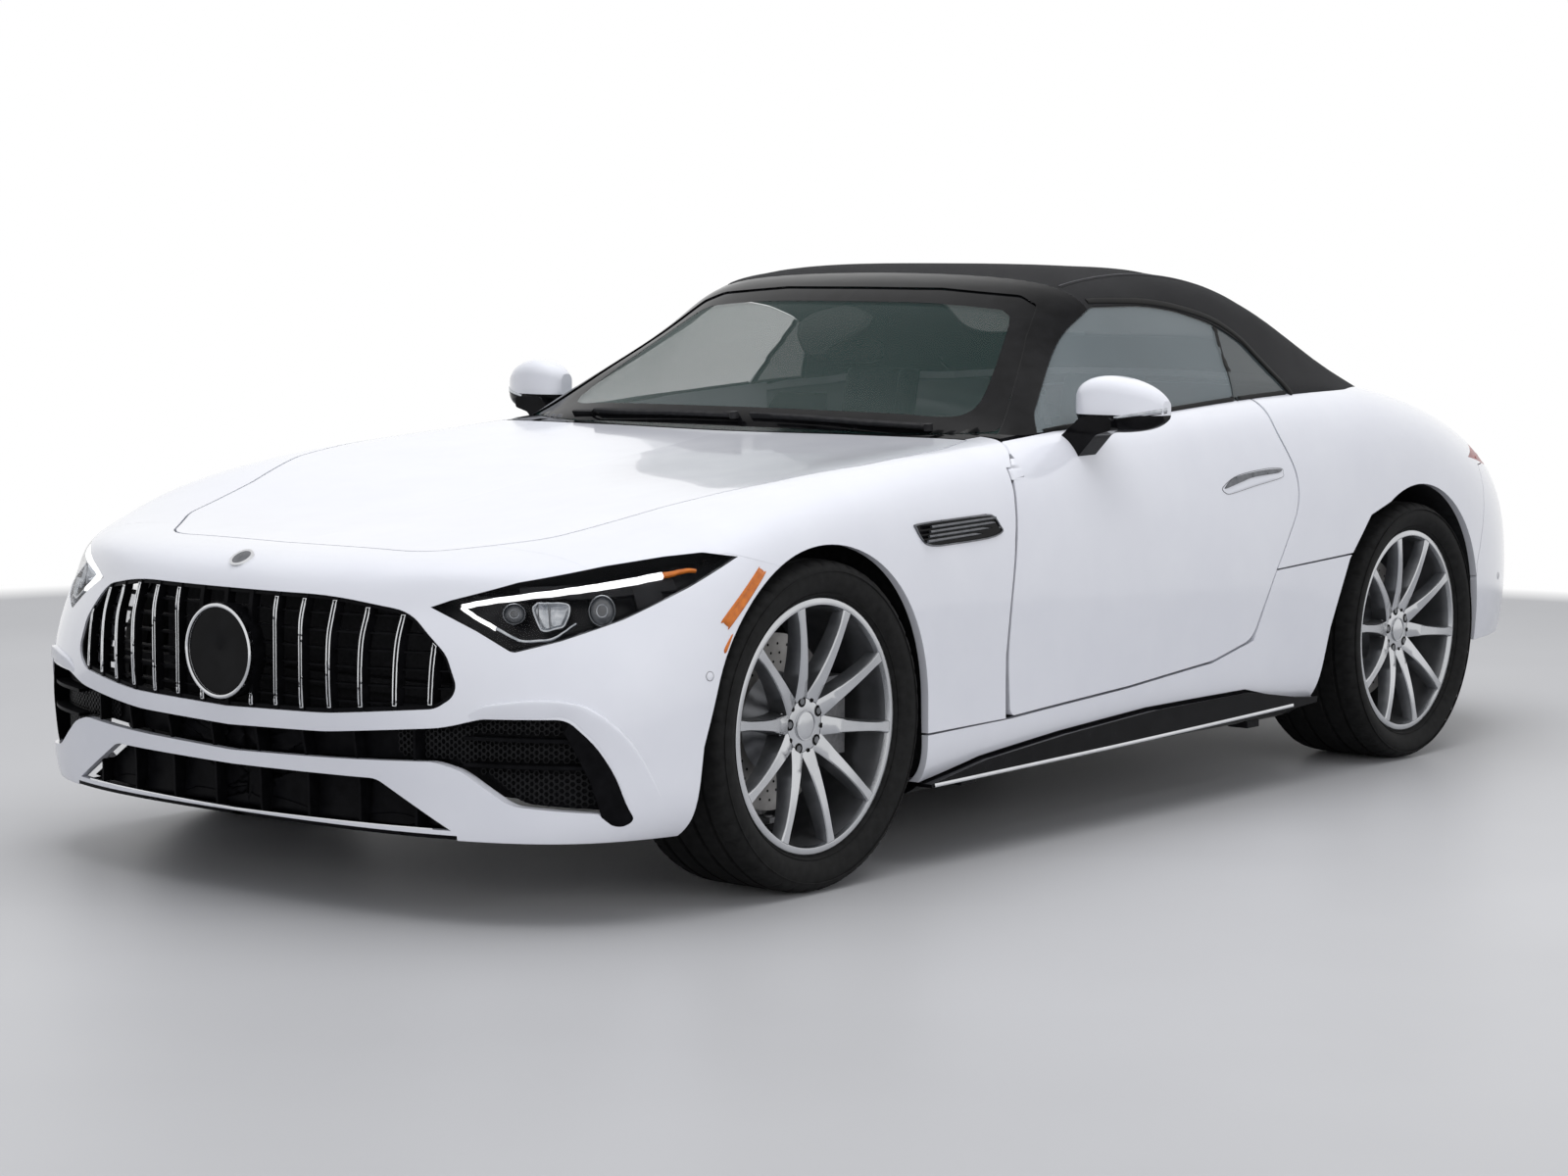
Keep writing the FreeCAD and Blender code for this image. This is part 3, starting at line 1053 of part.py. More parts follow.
# Steering wheel with its shaft
wheel_r, rim_r = size("steering_wheel_radius"), size("steering_rim_radius")
rim_sides = 10
rim_ring = [V(wheel_r + rim_r * math.cos(2 * math.pi * k / rim_sides), 0,
              rim_r * math.sin(2 * math.pi * k / rim_sides)) for k in range(rim_sides + 1)]
steering_rim = Part.Face(Part.makePolygon(rim_ring)).revolve(V(0, 0, 0), V(0, 0, 1), 360)
steering = [Part.makeCylinder(52, 40, V(0, 0, -34)), Part.makeCylinder(15, 270, V(0, 0, -290))]
for angle in (0, 90, 180):
    spoke = Part.makeBox(wheel_r - 45, 36, 14, V(40, -18, -14))
    spoke.rotate(V(0, 0, 0), V(0, 0, 1), angle)
    steering.append(spoke)
lean = FreeCAD.Rotation(V(1, 0, 0), size("column_rake") - 90)
add("steering_wheel", steering_rim.fuse(steering), FreeCAD.Placement(column_spot, lean))

doc.recompute()
os.makedirs("parts", exist_ok=True)
for item in nodes:
    if "Invalid" in item.State or "Error" in item.State:
        raise RuntimeError(item.Label + " failed to build")
    if item.Shape.isNull() or not item.Shape.isValid():
        raise RuntimeError(item.Label + " is not a valid shape")
    item.Shape.exportStep("parts/%s.step" % item.Label)
    print(item.Label, len(item.Shape.Solids), round(item.Shape.Volume / 1e6, 2))
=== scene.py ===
from contextlib import contextmanager
import math

import bmesh
import bpy
from mathutils import Matrix, Vector
from mathutils.bvhtree import BVHTree


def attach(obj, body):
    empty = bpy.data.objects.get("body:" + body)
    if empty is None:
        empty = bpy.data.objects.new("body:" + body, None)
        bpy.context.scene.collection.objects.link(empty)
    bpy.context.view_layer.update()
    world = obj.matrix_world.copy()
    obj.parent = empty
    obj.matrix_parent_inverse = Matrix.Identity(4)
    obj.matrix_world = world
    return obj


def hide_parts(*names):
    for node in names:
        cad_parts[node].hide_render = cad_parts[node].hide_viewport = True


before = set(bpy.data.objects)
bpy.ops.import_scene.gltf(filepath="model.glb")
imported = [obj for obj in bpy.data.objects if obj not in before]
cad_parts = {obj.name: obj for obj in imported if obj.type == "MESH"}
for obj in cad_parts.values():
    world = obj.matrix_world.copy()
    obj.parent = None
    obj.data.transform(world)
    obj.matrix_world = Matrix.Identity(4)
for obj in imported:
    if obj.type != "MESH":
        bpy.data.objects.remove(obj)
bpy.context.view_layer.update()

# Sides, axles and camera
BODY_SIDES = (("left", 1), ("right", -1))
FRONT_AXLE_Y, REAR_AXLE_Y = -1.4675, 1.2325
CAMERA_SPOT = Vector((5.355, -5.739 + FRONT_AXLE_Y, 1.343))
CAMERA_YAW, CAMERA_PITCH, CAMERA_ROLL = 38.25, 5.35, 0.35
CAMERA_LENS, SENSOR = 77.45, 36.0

# Materials


def material(name):
    """A new node material, with its node tree and its shader."""
    mat = bpy.data.materials.new(name)
    mat.use_nodes = True
    return mat, mat.node_tree, mat.node_tree.nodes["Principled BSDF"]


def add_node(tree, kind, **values):
    node = tree.nodes.new(kind)
    for key, value in values.items():
        if key in node.inputs:
            node.inputs[key].default_value = value
        else:
            setattr(node, key, value)
    return node


def ramp(tree, factor, low, high, start=0.3, end=0.7):
    """Colours between low and high, driven by a factor."""
    node = tree.nodes.new("ShaderNodeValToRGB")
    node.color_ramp.elements[0].position = start
    node.color_ramp.elements[0].color = (*low, 1)
    node.color_ramp.elements[1].position = end
    node.color_ramp.elements[1].color = (*high, 1)
    tree.links.new(factor, node.inputs["Fac"])
    return node.outputs["Color"]


def object_noise(tree, scale, detail=3.0):
    coords = tree.nodes.new("ShaderNodeTexCoord")
    noise = add_node(tree, "ShaderNodeTexNoise", Scale=scale, Detail=detail)
    tree.links.new(coords.outputs["Object"], noise.inputs["Vector"])
    return noise.outputs["Fac"]


def remap(tree, value, low, high, start=0.0, end=1.0):
    """A value between start and end, spread from low to high."""
    node = add_node(tree, "ShaderNodeMapRange",
                    **{"From Min": start, "From Max": end, "To Min": low, "To Max": high})
    tree.links.new(value, node.inputs["Value"])
    return node.outputs["Result"]


def compute(tree, operation, *values):
    """The result of a math node over sockets and numbers."""
    node = add_node(tree, "ShaderNodeMath", operation=operation)
    for socket, value in zip(node.inputs, values):
        if isinstance(value, float):
            socket.default_value = value
        else:
            tree.links.new(value, socket)
    return node.outputs["Value"]


def tune(shader, **values):
    """Sets inputs of a shader; an underscore stands for a space."""
    for key, value in values.items():
        shader.inputs[key.replace("_", " ")].default_value = value


def finish(name, low, high, metallic, rough_low, rough_high, noise_scale=40.0, bump=0.0,
           bump_scale=400.0, coat=0.0, specular=0.5, edge=0.0):
    """A surface whose colour and roughness vary softly, with fine bump and rounded edges."""
    mat, tree, shader = material(name)
    noise = object_noise(tree, noise_scale)
    tree.links.new(ramp(tree, noise, low, high), shader.inputs["Base Color"])
    tree.links.new(remap(tree, noise, rough_low, rough_high), shader.inputs["Roughness"])
    tune(shader, Metallic=metallic, Coat_Weight=coat, Coat_Roughness=0.03,
         Specular_IOR_Level=specular)
    normal = None
    if edge:
        normal = add_node(tree, "ShaderNodeBevel", samples=4, Radius=edge).outputs["Normal"]
    if bump:
        node = add_node(tree, "ShaderNodeBump", Strength=bump, Distance=0.001)
        tree.links.new(object_noise(tree, bump_scale, 2.0), node.inputs["Height"])
        if normal:
            tree.links.new(normal, node.inputs["Normal"])
        normal = node.outputs["Normal"]
    if normal:
        tree.links.new(normal, shader.inputs["Normal"])
    return mat


def glass(name, tint_and_painted_haze, alpha_face, alpha_edge):
    """Thin glass whose base colour is partly its tint and partly a painted reflection; both show
    more at grazing angles.
    """
    mat, tree, shader = material(name)
    low = tuple(0.85 * c for c in tint_and_painted_haze)
    tree.links.new(ramp(tree, object_noise(tree, 3.0), low, tint_and_painted_haze), shader.inputs["Base Color"])
    tune(shader, Roughness=0.02, Specular_IOR_Level=0.6)
    weight = add_node(tree, "ShaderNodeLayerWeight", Blend=0.5)
    steep = compute(tree, "POWER", weight.outputs["Facing"], 4.0)
    tree.links.new(remap(tree, steep, alpha_face, alpha_edge), shader.inputs["Alpha"])
    return mat


def lit(name, colour, strength, base, specular=0.5):
    """A lamp part that glows a little."""
    mat, tree, shader = material(name)
    noise = object_noise(tree, 60.0)
    tree.links.new(ramp(tree, noise, base, colour), shader.inputs["Base Color"])
    tune(shader, Emission_Color=(*colour, 1), Emission_Strength=strength, Roughness=0.25,
         Specular_IOR_Level=specular)
    return mat


PAINT = finish("paint", (0.735, 0.745, 0.80), (0.765, 0.775, 0.825), 0.0, 0.16, 0.22, 6.0,
               coat=0.6, edge=0.0022)
BLACK_GLOSS = finish("black_gloss", (0.003, 0.003, 0.0035), (0.007, 0.007, 0.008), 0.0, 0.05, 0.12,
                     20.0, 0.02, 600.0, specular=0.07, edge=0.0015)
BLACK_SATIN = finish("black_satin", (0.014, 0.014, 0.015), (0.028, 0.028, 0.03), 0.0, 0.45, 0.6,
                     60.0, 0.15, 900.0, specular=0.10, edge=0.0015)
CHROME = finish("chrome", (0.62, 0.63, 0.65), (0.70, 0.71, 0.73), 1.0, 0.06, 0.12, 30.0, 0.01,
                500.0, edge=0.001)
CAST = finish("cast_metal", (0.22, 0.22, 0.23), (0.32, 0.32, 0.33), 0.8, 0.45, 0.6, 90.0, 0.25,
              500.0, edge=0.002)
DARK_CAST = finish("dark_cast_metal", (0.010, 0.010, 0.011), (0.020, 0.020, 0.022), 0.2, 0.5, 0.65,
                   90.0, 0.2, 500.0, specular=0.1, edge=0.002)
STEEL = finish("steel", (0.42, 0.42, 0.42), (0.52, 0.52, 0.53), 1.0, 0.25, 0.38, 30.0, 0.08,
               300.0, edge=0.001)
LEATHER = finish("leather", (0.014, 0.014, 0.015), (0.026, 0.025, 0.027), 0.0, 0.45, 0.6, 90.0,
                 0.15, 700.0, specular=0.15)
GRILLE_BLACK = finish("grille_black", (0.0025, 0.0025, 0.003), (0.006, 0.006, 0.007), 0.0, 0.35,
                      0.5, 40.0, 0.05, 700.0, specular=0.04, edge=0.0008)
# The side glass's pale base colour is a painted sky reflection; the windscreen's is its green tint
# with a little painted reflection haze.
WINDSCREEN_GLASS = glass("windscreen_glass", (0.022, 0.070, 0.064), 0.13, 0.75)
SIDE_GLASS = glass("side_glass", (0.24, 0.29, 0.31), 0.34, 0.85)
REAR_GLASS = glass("rear_glass", (0.07, 0.085, 0.09), 0.70, 0.92)

AMBER = lit("amber_lens", (0.62, 0.17, 0.012), 0.05, (0.42, 0.10, 0.01))
RED_LENS = lit("red_lens", (0.30, 0.010, 0.014), 0.04, (0.16, 0.006, 0.008), 0.12)
LED_WHITE = lit("led_strip", (1.0, 1.0, 1.0), 1.1, (0.9, 0.9, 0.92))
LAMP_BLACK = finish("lamp_housing", (0.006, 0.006, 0.007), (0.016, 0.016, 0.018), 0.0, 0.16, 0.30,
                    30.0, 0.05, 500.0, specular=0.12, edge=0.001)
LAMP_GREY = finish("lamp_reflector", (0.34, 0.36, 0.39), (0.55, 0.57, 0.60), 0.9, 0.12, 0.30, 60.0,
                   0.10, 300.0, edge=0.0008)
LENS_GLASS = finish("lamp_lens", (0.035, 0.037, 0.042), (0.075, 0.08, 0.09), 0.0, 0.03, 0.08, 25.0,
                    0.02, 200.0, coat=1.0)
COVER_GLASS = glass("lamp_cover", (0.03, 0.033, 0.037), 0.04, 0.45)


SIDE_LOOKS = ((PAINT, ("fender", "door", "quarter", "sill", "mirror")), (LEATHER, ("seat",)),
              (SIDE_GLASS, ("door_glass",)), (CAST, ("knuckle",)),
              (STEEL, ("wheel_front", "wheel_rear")), (BLACK_SATIN, ("tyre_front", "tyre_rear")))
LOOKS = ((PAINT, ("bonnet", "front_bumper", "tonneau_cover", "boot_lid", "rear_bumper")),
         (BLACK_GLOSS, ("windscreen_frame", "side_skirts")), (RED_LENS, ("tail_lamps",)),
         (GRILLE_BLACK, ("grille", "front_intakes")), (WINDSCREEN_GLASS, ("windscreen",)),
         (REAR_GLASS, ("rear_glass",)), (SIDE_GLASS, ("headlamps",)), (STEEL, ("exhaust",)),
         (BLACK_SATIN, ("diffuser", "floor_pan", "soft_top")), (DARK_CAST, ("front_subframe",)),
         (LEATHER, ("dashboard", "steering_wheel", "centre_console", "rear_seat")),
         (CAST, ("rear_suspension", "engine_block")))


def dress(name, mat):
    """Gives a CAD node its material and smooth shading."""
    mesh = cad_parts[name].data
    mesh.materials.clear()
    mesh.materials.append(mat)
    for polygon in mesh.polygons:
        polygon.use_smooth = True


for mat, names in SIDE_LOOKS:
    for name in names:
        for side, _ in BODY_SIDES:
            dress(name + "_" + side, mat)
for mat, names in LOOKS:
    for name in names:
        dress(name, mat)


# Mesh helpers
@contextmanager
def edit(mesh):
    """Opens a mesh for editing and writes it back."""
    made = bmesh.new()
    made.from_mesh(mesh)
    yield made
    made.to_mesh(mesh)
    made.free()


def sharpen(item, degrees):
    """Smooth shading that keeps edges sharper than an angle."""
    limit = math.radians(degrees)
    with edit(item.data) as mesh:
        for edge in mesh.edges:
            edge.smooth = len(edge.link_faces) == 2 and edge.calc_face_angle(0.0) < limit
    return item


def linked(name, data):
    """An object in the scene."""
    item = bpy.data.objects.new(name, data)
    bpy.context.scene.collection.objects.link(item)
    return item


def placed(name, mesh, body, sharp=None, replaces=()):
    """A mesh object that rides on a body."""
    item = linked(name, mesh)
    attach(item, body)
    if replaces:
        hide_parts(*replaces)
    return sharpen(item, sharp) if sharp else item


def cut_copy(node_name, name, z, mats, body, upper_only=False):
    """A CAD node's copy, cut at a height, in its place; the second material goes below the cut."""
    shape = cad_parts[node_name].data.copy()
    shape.name = name
    shape.materials.clear()
    for mat in mats:
        shape.materials.append(mat)
    with edit(shape) as mesh:
        bmesh.ops.bisect_plane(mesh, geom=mesh.verts[:] + mesh.edges[:] + mesh.faces[:],
                               plane_co=(0, 0, z), plane_no=(0, 0, 1), clear_inner=upper_only)
        if upper_only:
            bmesh.ops.holes_fill(mesh, edges=[edge for edge in mesh.edges if edge.is_boundary])
    for polygon in shape.polygons:
        polygon.use_smooth = True
        polygon.material_index = int(len(mats) > 1 and polygon.center.z <= z)
    return placed(name, shape, body, 40.0, [node_name])


class Build:
    """Vertices and faces gathered for one piece."""

    def __init__(self):
        self.verts, self.faces, self.mats = [], [], []

    def add(self, verts, faces, mat=0):
        start = len(self.verts)
        self.verts += [Vector(v) for v in verts]
        self.faces += [tuple(start + i for i in face) for face in faces]
        self.mats += [mat] * len(faces) if isinstance(mat, int) else mat

    def moved(self, matrix):
        self.verts = [matrix @ v for v in self.verts]
        if matrix.determinant() < 0:
            self.faces = [tuple(reversed(face)) for face in self.faces]
        return self

    def join(self, other):
        self.add(other.verts, other.faces, other.mats)

    def piece(self, name, mats, body, slot, sharp=None, smooth=True, replaces=()):
        mesh = bpy.data.meshes.new(name)
        mesh.from_pydata([tuple(v) for v in self.verts], [], self.faces)
        for mat in mats:
            mesh.materials.append(mat)
        for polygon, mat in zip(mesh.polygons, self.mats):
            polygon.use_smooth = smooth
            polygon.material_index = mat
        mesh.validate()
        return placed(name, mesh, body, sharp, replaces)


def circle(count):
    """The angles of a full turn."""
    return [2 * math.pi * k / count for k in range(count)]


def lathe(build, profile, count, mats=0, adjust=None, closed=True):
    """Turns a profile of (x, radius) round the X axis; adjust(k, step, x, r) may move a point."""
    size = len(profile)
    verts = []
    for step, angle in enumerate(circle(count)):
        for k, (x, r) in enumerate(profile):
            if adjust:
                x, r = adjust(k, step, x, r)
            verts.append((x, r * math.cos(angle), r * math.sin(angle)))
    faces, face_mats = [], []
    for step in range(count):
        following = (step + 1) % count
        for k in range(size if closed else size - 1):
            other = (k + 1) % size
            faces.append((step * size + k, step * size + other, following * size + other,
                          following * size + k))
            face_mats.append(mats if isinstance(mats, int) else mats[k])
    build.add(verts, faces, face_mats)


def ring_strip(build, rings, mat=0, caps=True, closed=True):
    """Joins rings of equal length by quads, with caps at the two ends."""
    size = len(rings[0])
    verts = [v for ring in rings for v in ring]
    faces = []
    for j in range(len(rings) - 1):
        for k in range(size if closed else size - 1):
            other = (k + 1) % size
            faces.append((j * size + k, j * size + other, (j + 1) * size + other,
                          (j + 1) * size + k))
    if caps and closed:
        faces.append(tuple(reversed(range(size))))
        faces.append(tuple((len(rings) - 1) * size + k for k in range(size)))
    build.add(verts, faces, mat)


def tube(build, points, radius, sides, mat=0):
    """A round tube along points."""
    points = [Vector(p) for p in points]
    rings = []
    for k, spot in enumerate(points):
        ahead = points[min(k + 1, len(points) - 1)] - points[max(k - 1, 0)]
        turn = ahead.to_track_quat("Z", "Y")
        rings.append([spot + turn @ Vector((radius * math.cos(a), radius * math.sin(a), 0))
                      for a in circle(sides)])
    ring_strip(build, rings, mat)


def slab(build, low, high, mat=0):
    x0, y0, z0 = low
    x1, y1, z1 = high
    verts = [(x0, y0, z0), (x1, y0, z0), (x1, y1, z0), (x0, y1, z0),
             (x0, y0, z1), (x1, y0, z1), (x1, y1, z1), (x0, y1, z1)]
    faces = [(0, 3, 2, 1), (4, 5, 6, 7), (0, 1, 5, 4), (1, 2, 6, 5), (2, 3, 7, 6), (3, 0, 4, 7)]
    build.add(verts, faces, mat)


def applied(item, kind, **values):
    """Adds a modifier to a piece and makes its result real."""
    modifier = item.modifiers.new(kind, kind)
    for key, value in values.items():
        setattr(modifier, key, value)
    depsgraph = bpy.context.evaluated_depsgraph_get()
    made = bpy.data.meshes.new_from_object(item.evaluated_get(depsgraph))
    item.modifiers.clear()
    item.data = made
    for polygon in made.polygons:
        polygon.use_smooth = True


# Wheels and tyres, drawn round the origin with the outer side towards +X
RIM_R, LIP_R, HUB_R, HUB_DEPTH, CAP_R = 0.268, 0.284, 0.078, 0.033, 0.034
DISC_R, DISC_HAT_R, DISC_INNER, DISC_OUTER = 0.195, 0.112, -0.040, -0.004
DISC_PLATE, DISC_EDGE = 0.014, 0.006
SPOKES, SPOKE_STEPS, SPOKE_START_R, SPOKE_END_R = 10, 14, 0.050, 0.2665
BOLTS, DISC_HOLES = 5, 32
GROOVE_DEPTH, SHOULDER_CUT, TYRE_STEPS, CUT_EVERY = 0.0065, 0.0035, 288, 6
MACHINED = finish("machined_alloy", (0.50, 0.51, 0.53), (0.60, 0.61, 0.63), 1.0, 0.16, 0.26, 8.0,
                  0.04, 1500.0, edge=0.001)
DARK_ALLOY = finish("dark_alloy", (0.13, 0.135, 0.145), (0.20, 0.205, 0.215), 0.75, 0.30, 0.40,
                    20.0, 0.05, 700.0, edge=0.001)
DISC_METAL = finish("brake_disc", (0.30, 0.29, 0.28), (0.42, 0.41, 0.40), 0.9, 0.30, 0.42, 25.0,
                    0.10, 900.0)
RUBBER = finish("tyre_rubber", (0.009, 0.009, 0.009), (0.017, 0.017, 0.017), 0.0, 0.60, 0.75, 50.0,
                0.15, 900.0, specular=0.10)
# Nearly black painted shade for bolt recesses, small holes, drilled disc holes and tail pipe bores.
PAINTED_HOLE_SHADE = finish("painted_hole_shade", (0.004, 0.004, 0.004), (0.008, 0.008, 0.008), 0.0, 0.7, 0.8,
              specular=0.04)
BARREL = finish("rim_barrel", (0.15, 0.155, 0.165), (0.23, 0.235, 0.245), 0.85, 0.28, 0.38, 12.0,
                0.04, 700.0, edge=0.001)


def spoke(build, face_x, angle):
    """One slim spoke, which widens and dives towards the hub."""
    turn = Matrix.Rotation(angle, 4, "X")
    size = 6
    verts = []
    for k in range(SPOKE_STEPS + 1):
        share = k / SPOKE_STEPS
        r = SPOKE_START_R + (SPOKE_END_R - SPOKE_START_R) * share
        half = 0.0105 + 0.0135 * (1 - share) ** 2.6 + 0.0030 * max(0, share - 0.85) / 0.15
        x = face_x - 0.036 * (1 - share) ** 2.1
        depth = 0.030 + 0.020 * (1 - share)
        verts += [turn @ Vector((x - back, half * across, r))
                  for back, across in ((0.003, -1), (0, -0.80), (0, 0.80), (0.003, 1),
                                       (depth, 1.25), (depth, -1.25))]
    faces, mats = [], []
    for j in range(SPOKE_STEPS):
        for k in range(size):
            other = (k + 1) % size
            faces.append((j * size + k, (j + 1) * size + k, (j + 1) * size + other,
                          j * size + other))
            mats.append(0 if k in (0, 1, 2) else 1)
    build.add(verts, faces, mats)


def stud(build, low, high, middle, angle, radius, sides, mat):
    """A short bar along X from low to high, at an angle round the axle."""
    y, z = middle * math.cos(angle), middle * math.sin(angle)
    tube(build, ((low, y, z), (high, y, z)), radius, sides, mat)


def wheel_piece(corner, width, place):
    """Rim, spokes, hub, bolts and disc of one wheel."""
    face, back = 0.425 * width, -0.43 * width
    hub, hub_back = face - HUB_DEPTH, face - HUB_DEPTH - 0.040
    build = Build()
    lathe(build, [(face, 0.2650), (face + 0.0012, 0.2760), (face - 0.001, LIP_R - 0.0035),
                  (face - 0.005, LIP_R), (face - 0.012, LIP_R - 0.002), (face - 0.014, RIM_R),
                  (back + 0.012, RIM_R), (back + 0.006, LIP_R), (back, LIP_R),
                  (back, RIM_R - 0.012), (back + 0.02, RIM_R - 0.010), (0, RIM_R - 0.018),
                  (face - 0.034, RIM_R - 0.012), (face - 0.010, RIM_R - 0.007)], 144,
          [0, 0, 0, 0, 1, 1, 1, 1, 4, 4, 4, 4, 4, 0])
    for k in range(SPOKES):
        spoke(build, face, 2 * math.pi * k / SPOKES)
    lathe(build, [(hub, CAP_R), (hub - 0.001, 0.060), (hub - 0.004, 0.068),
                  (hub - 0.012, HUB_R - 0.002), (hub_back, HUB_R), (hub_back, CAP_R)], 72,
          [0, 0, 0, 1, 1, 1])
    lathe(build, [(hub + 0.006, 0.0005), (hub + 0.0055, 0.020), (hub + 0.003, 0.030),
                  (hub + 0.001, CAP_R - 0.0005), (hub - 0.010, CAP_R), (hub - 0.010, 0.0005)], 48)
    lathe(build, [(hub + 0.0045, 0.0305), (hub + 0.0045, 0.0335), (hub - 0.002, 0.0345),
                  (hub - 0.002, 0.0305)], 48)
    # Each bolt sits in a dark cylinder of painted shade, and the small holes between the bolts are
    # painted shade too.
    for k in range(BOLTS):
        bolt, cover = (2 * math.pi * (k + shift + 0.25) / BOLTS for shift in (0.0, 0.5))
        stud(build, hub - 0.010, hub + 0.0006, 0.054, bolt, 0.0125, 20, 2)
        stud(build, hub - 0.012, hub + 0.0012, 0.054, bolt, 0.0080, 6, 1)
        stud(build, hub - 0.010, hub + 0.0006, 0.058, cover, 0.0055, 20, 2)
    outer, inner = DISC_OUTER - DISC_PLATE, DISC_INNER + DISC_PLATE
    lathe(build, [(DISC_OUTER, DISC_HAT_R), (DISC_OUTER, DISC_R), (outer, DISC_R),
                  (outer, DISC_R - DISC_EDGE), (inner, DISC_R - DISC_EDGE), (inner, DISC_R),
                  (DISC_INNER, DISC_R), (DISC_INNER, DISC_HAT_R)], 96, 3)
    lathe(build, [(hub_back, 0.070), (0.006, 0.090), (DISC_OUTER, DISC_HAT_R),
                  (DISC_INNER, DISC_HAT_R), (DISC_INNER, CAP_R), (hub_back, CAP_R)], 64, 1)
    # The drilled holes of the disc are short dark studs of painted shade.
    for k in range(DISC_HOLES):
        for j, r in enumerate((0.132, 0.152, 0.172)):
            stud(build, DISC_OUTER - 0.002, DISC_OUTER + 0.0004, r,
                 2 * math.pi * (k + 0.28 * j) / DISC_HOLES, 0.0032, 8, 2)
    build.moved(place)
    build.piece("rim_wheel_" + corner, [MACHINED, DARK_ALLOY, PAINTED_HOLE_SHADE, DISC_METAL, BARREL],
                "wheel_body_" + corner, "wheel_" + corner, 40.0, replaces=["wheel_" + corner])


def tyre_piece(corner, width, radius, place):
    """A road tyre with four grooves and cut shoulders."""
    upper = [(0.385, RIM_R + 0.002), (0.400, RIM_R + 0.014), (0.452, 0.292), (0.486, 0.305),
             (0.498, 0.318), (0.500, 0.330), (0.494, radius - 0.022), (0.478, radius - 0.012),
             (0.452, radius - 0.0065), (0.425, radius - 0.0035), (0.375, radius - 0.0012)]
    for middle in (0.300, 0.115):
        upper += [(middle + 0.020, radius), (middle + 0.016, radius - GROOVE_DEPTH),
                  (middle - 0.016, radius - GROOVE_DEPTH), (middle - 0.020, radius)]
    profile = [(share * width, r) for share, r in upper]
    profile += [(-x, r) for x, r in reversed(profile)]
    shoulder = {k for k, (x, r) in enumerate(profile)
                if abs(x) > 0.36 * width and r > radius - 0.016}

    def adjust(k, step, x, r):
        return x, r - SHOULDER_CUT if k in shoulder and step % CUT_EVERY == 0 else r

    build = Build()
    lathe(build, profile, TYRE_STEPS, 0, adjust)
    for r, out in ((0.2895, 0.4475), (0.3395, 0.4985)):
        for flip in (1, -1):
            x = flip * out * width
            lathe(build, [(x + flip * 0.0012, r - 0.0012), (x + flip * 0.0018, r),
                          (x + flip * 0.0012, r + 0.0012), (x - flip * 0.003, r)], 144)
    build.moved(place)
    build.piece("tread_tyre_" + corner, [RUBBER], "wheel_body_" + corner, "tyre_" + corner, 35.0,
                replaces=["tyre_" + corner])


for end, x, y, width, radius, angle in (("front", 0.8075, FRONT_AXLE_Y, 0.275, 0.363, 12.0),
                                        ("rear", 0.7925, REAR_AXLE_Y, 0.305, 0.358, 12.5)):
    for side, sign in BODY_SIDES:
        corner = end + "_" + side
        place = Matrix.Translation((sign * x, y, radius)) @ Matrix.Diagonal((sign, 1, 1, 1))
        wheel_piece(corner, width, place @ Matrix.Rotation(math.radians(angle), 4, "X"))
        tyre_piece(corner, width, radius, place)


# Details found on the surfaces of the CAD nodes
TREES = {}
CAST_FRONT_Y, CAST_TOP_Z, CAST_SIDE_X, CAST_REACH = -3.0, 3.0, 1.4, 6.0


def tree_of(*names):
    """A search tree over CAD nodes."""
    if names not in TREES:
        verts, faces = [], []
        for name in names:
            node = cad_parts[name]
            start = len(verts)
            verts += [node.matrix_world @ v.co for v in node.data.vertices]
            faces += [tuple(start + i for i in p.vertices) for p in node.data.polygons]
        TREES[names] = BVHTree.FromPolygons(verts, faces)
    return TREES[names]


def drawn(x, y, z):
    """A point measured in millimetres from the front axle, in the frame's metres."""
    return Vector((x / 1000, y / 1000 + FRONT_AXLE_Y, z / 1000))


def sided(points, side):
    """Drawn points of the left side, or their mirror images."""
    sign = dict(BODY_SIDES)[side]
    return [drawn(sign * x, y, z) for x, y, z in points]


def on(names, spot):
    """The nearest point of some nodes' surface and its outward direction."""
    return tree_of(*names).find_nearest(spot)[:2]


def first_hit(names, origin, heading):
    """Where a ray first meets some nodes, and the direction of the surface there."""
    return tree_of(*names).ray_cast(Vector(origin), Vector(heading), CAST_REACH)[:2]


def from_front(names, x, z):
    return first_hit(names, (x, CAST_FRONT_Y, z), (0, 1, 0))


def from_above(names, x, y):
    return first_hit(names, (x, y, CAST_TOP_Z), (0, 0, -1))


def from_side(names, sign, y, z):
    return first_hit(names, (sign * CAST_SIDE_X, y, z), (-sign, 0, 0))


def turn_to(direction):
    """The turn that brings +X to a direction."""
    return direction.to_track_quat("X", "Z").to_matrix().to_4x4()


def curve_through(points, steps, closed=False):
    """Points along a smooth line through the given ones."""
    count = len(points)

    def point(k):
        return points[k % count if closed else min(max(k, 0), count - 1)]

    made = []
    for k in range(count if closed else count - 1):
        a, b, c, d = (point(k + j) for j in (-1, 0, 1, 2))
        for j in range(steps):
            t = j / steps
            made.append(0.5 * (2 * b + (c - a) * t + (2 * a - 5 * b + 4 * c - d) * t * t
                               + (3 * b - a - 3 * c + d) * t * t * t))
    if not closed:
        made.append(points[-1].copy())
    return made


def laid(names, points):
    """A line of points moved onto a surface, with the outward directions there."""
    return zip(*[on(names, p) for p in points])


def side_line(names, points, side, steps=6, closed=False, depth=0.0):
    """A smooth line of drawn points, laid on a surface or at a depth under it."""
    spots, normals = laid(names, curve_through(sided(points, side), steps, closed))
    return [s - n * depth for s, n in zip(spots, normals)], normals


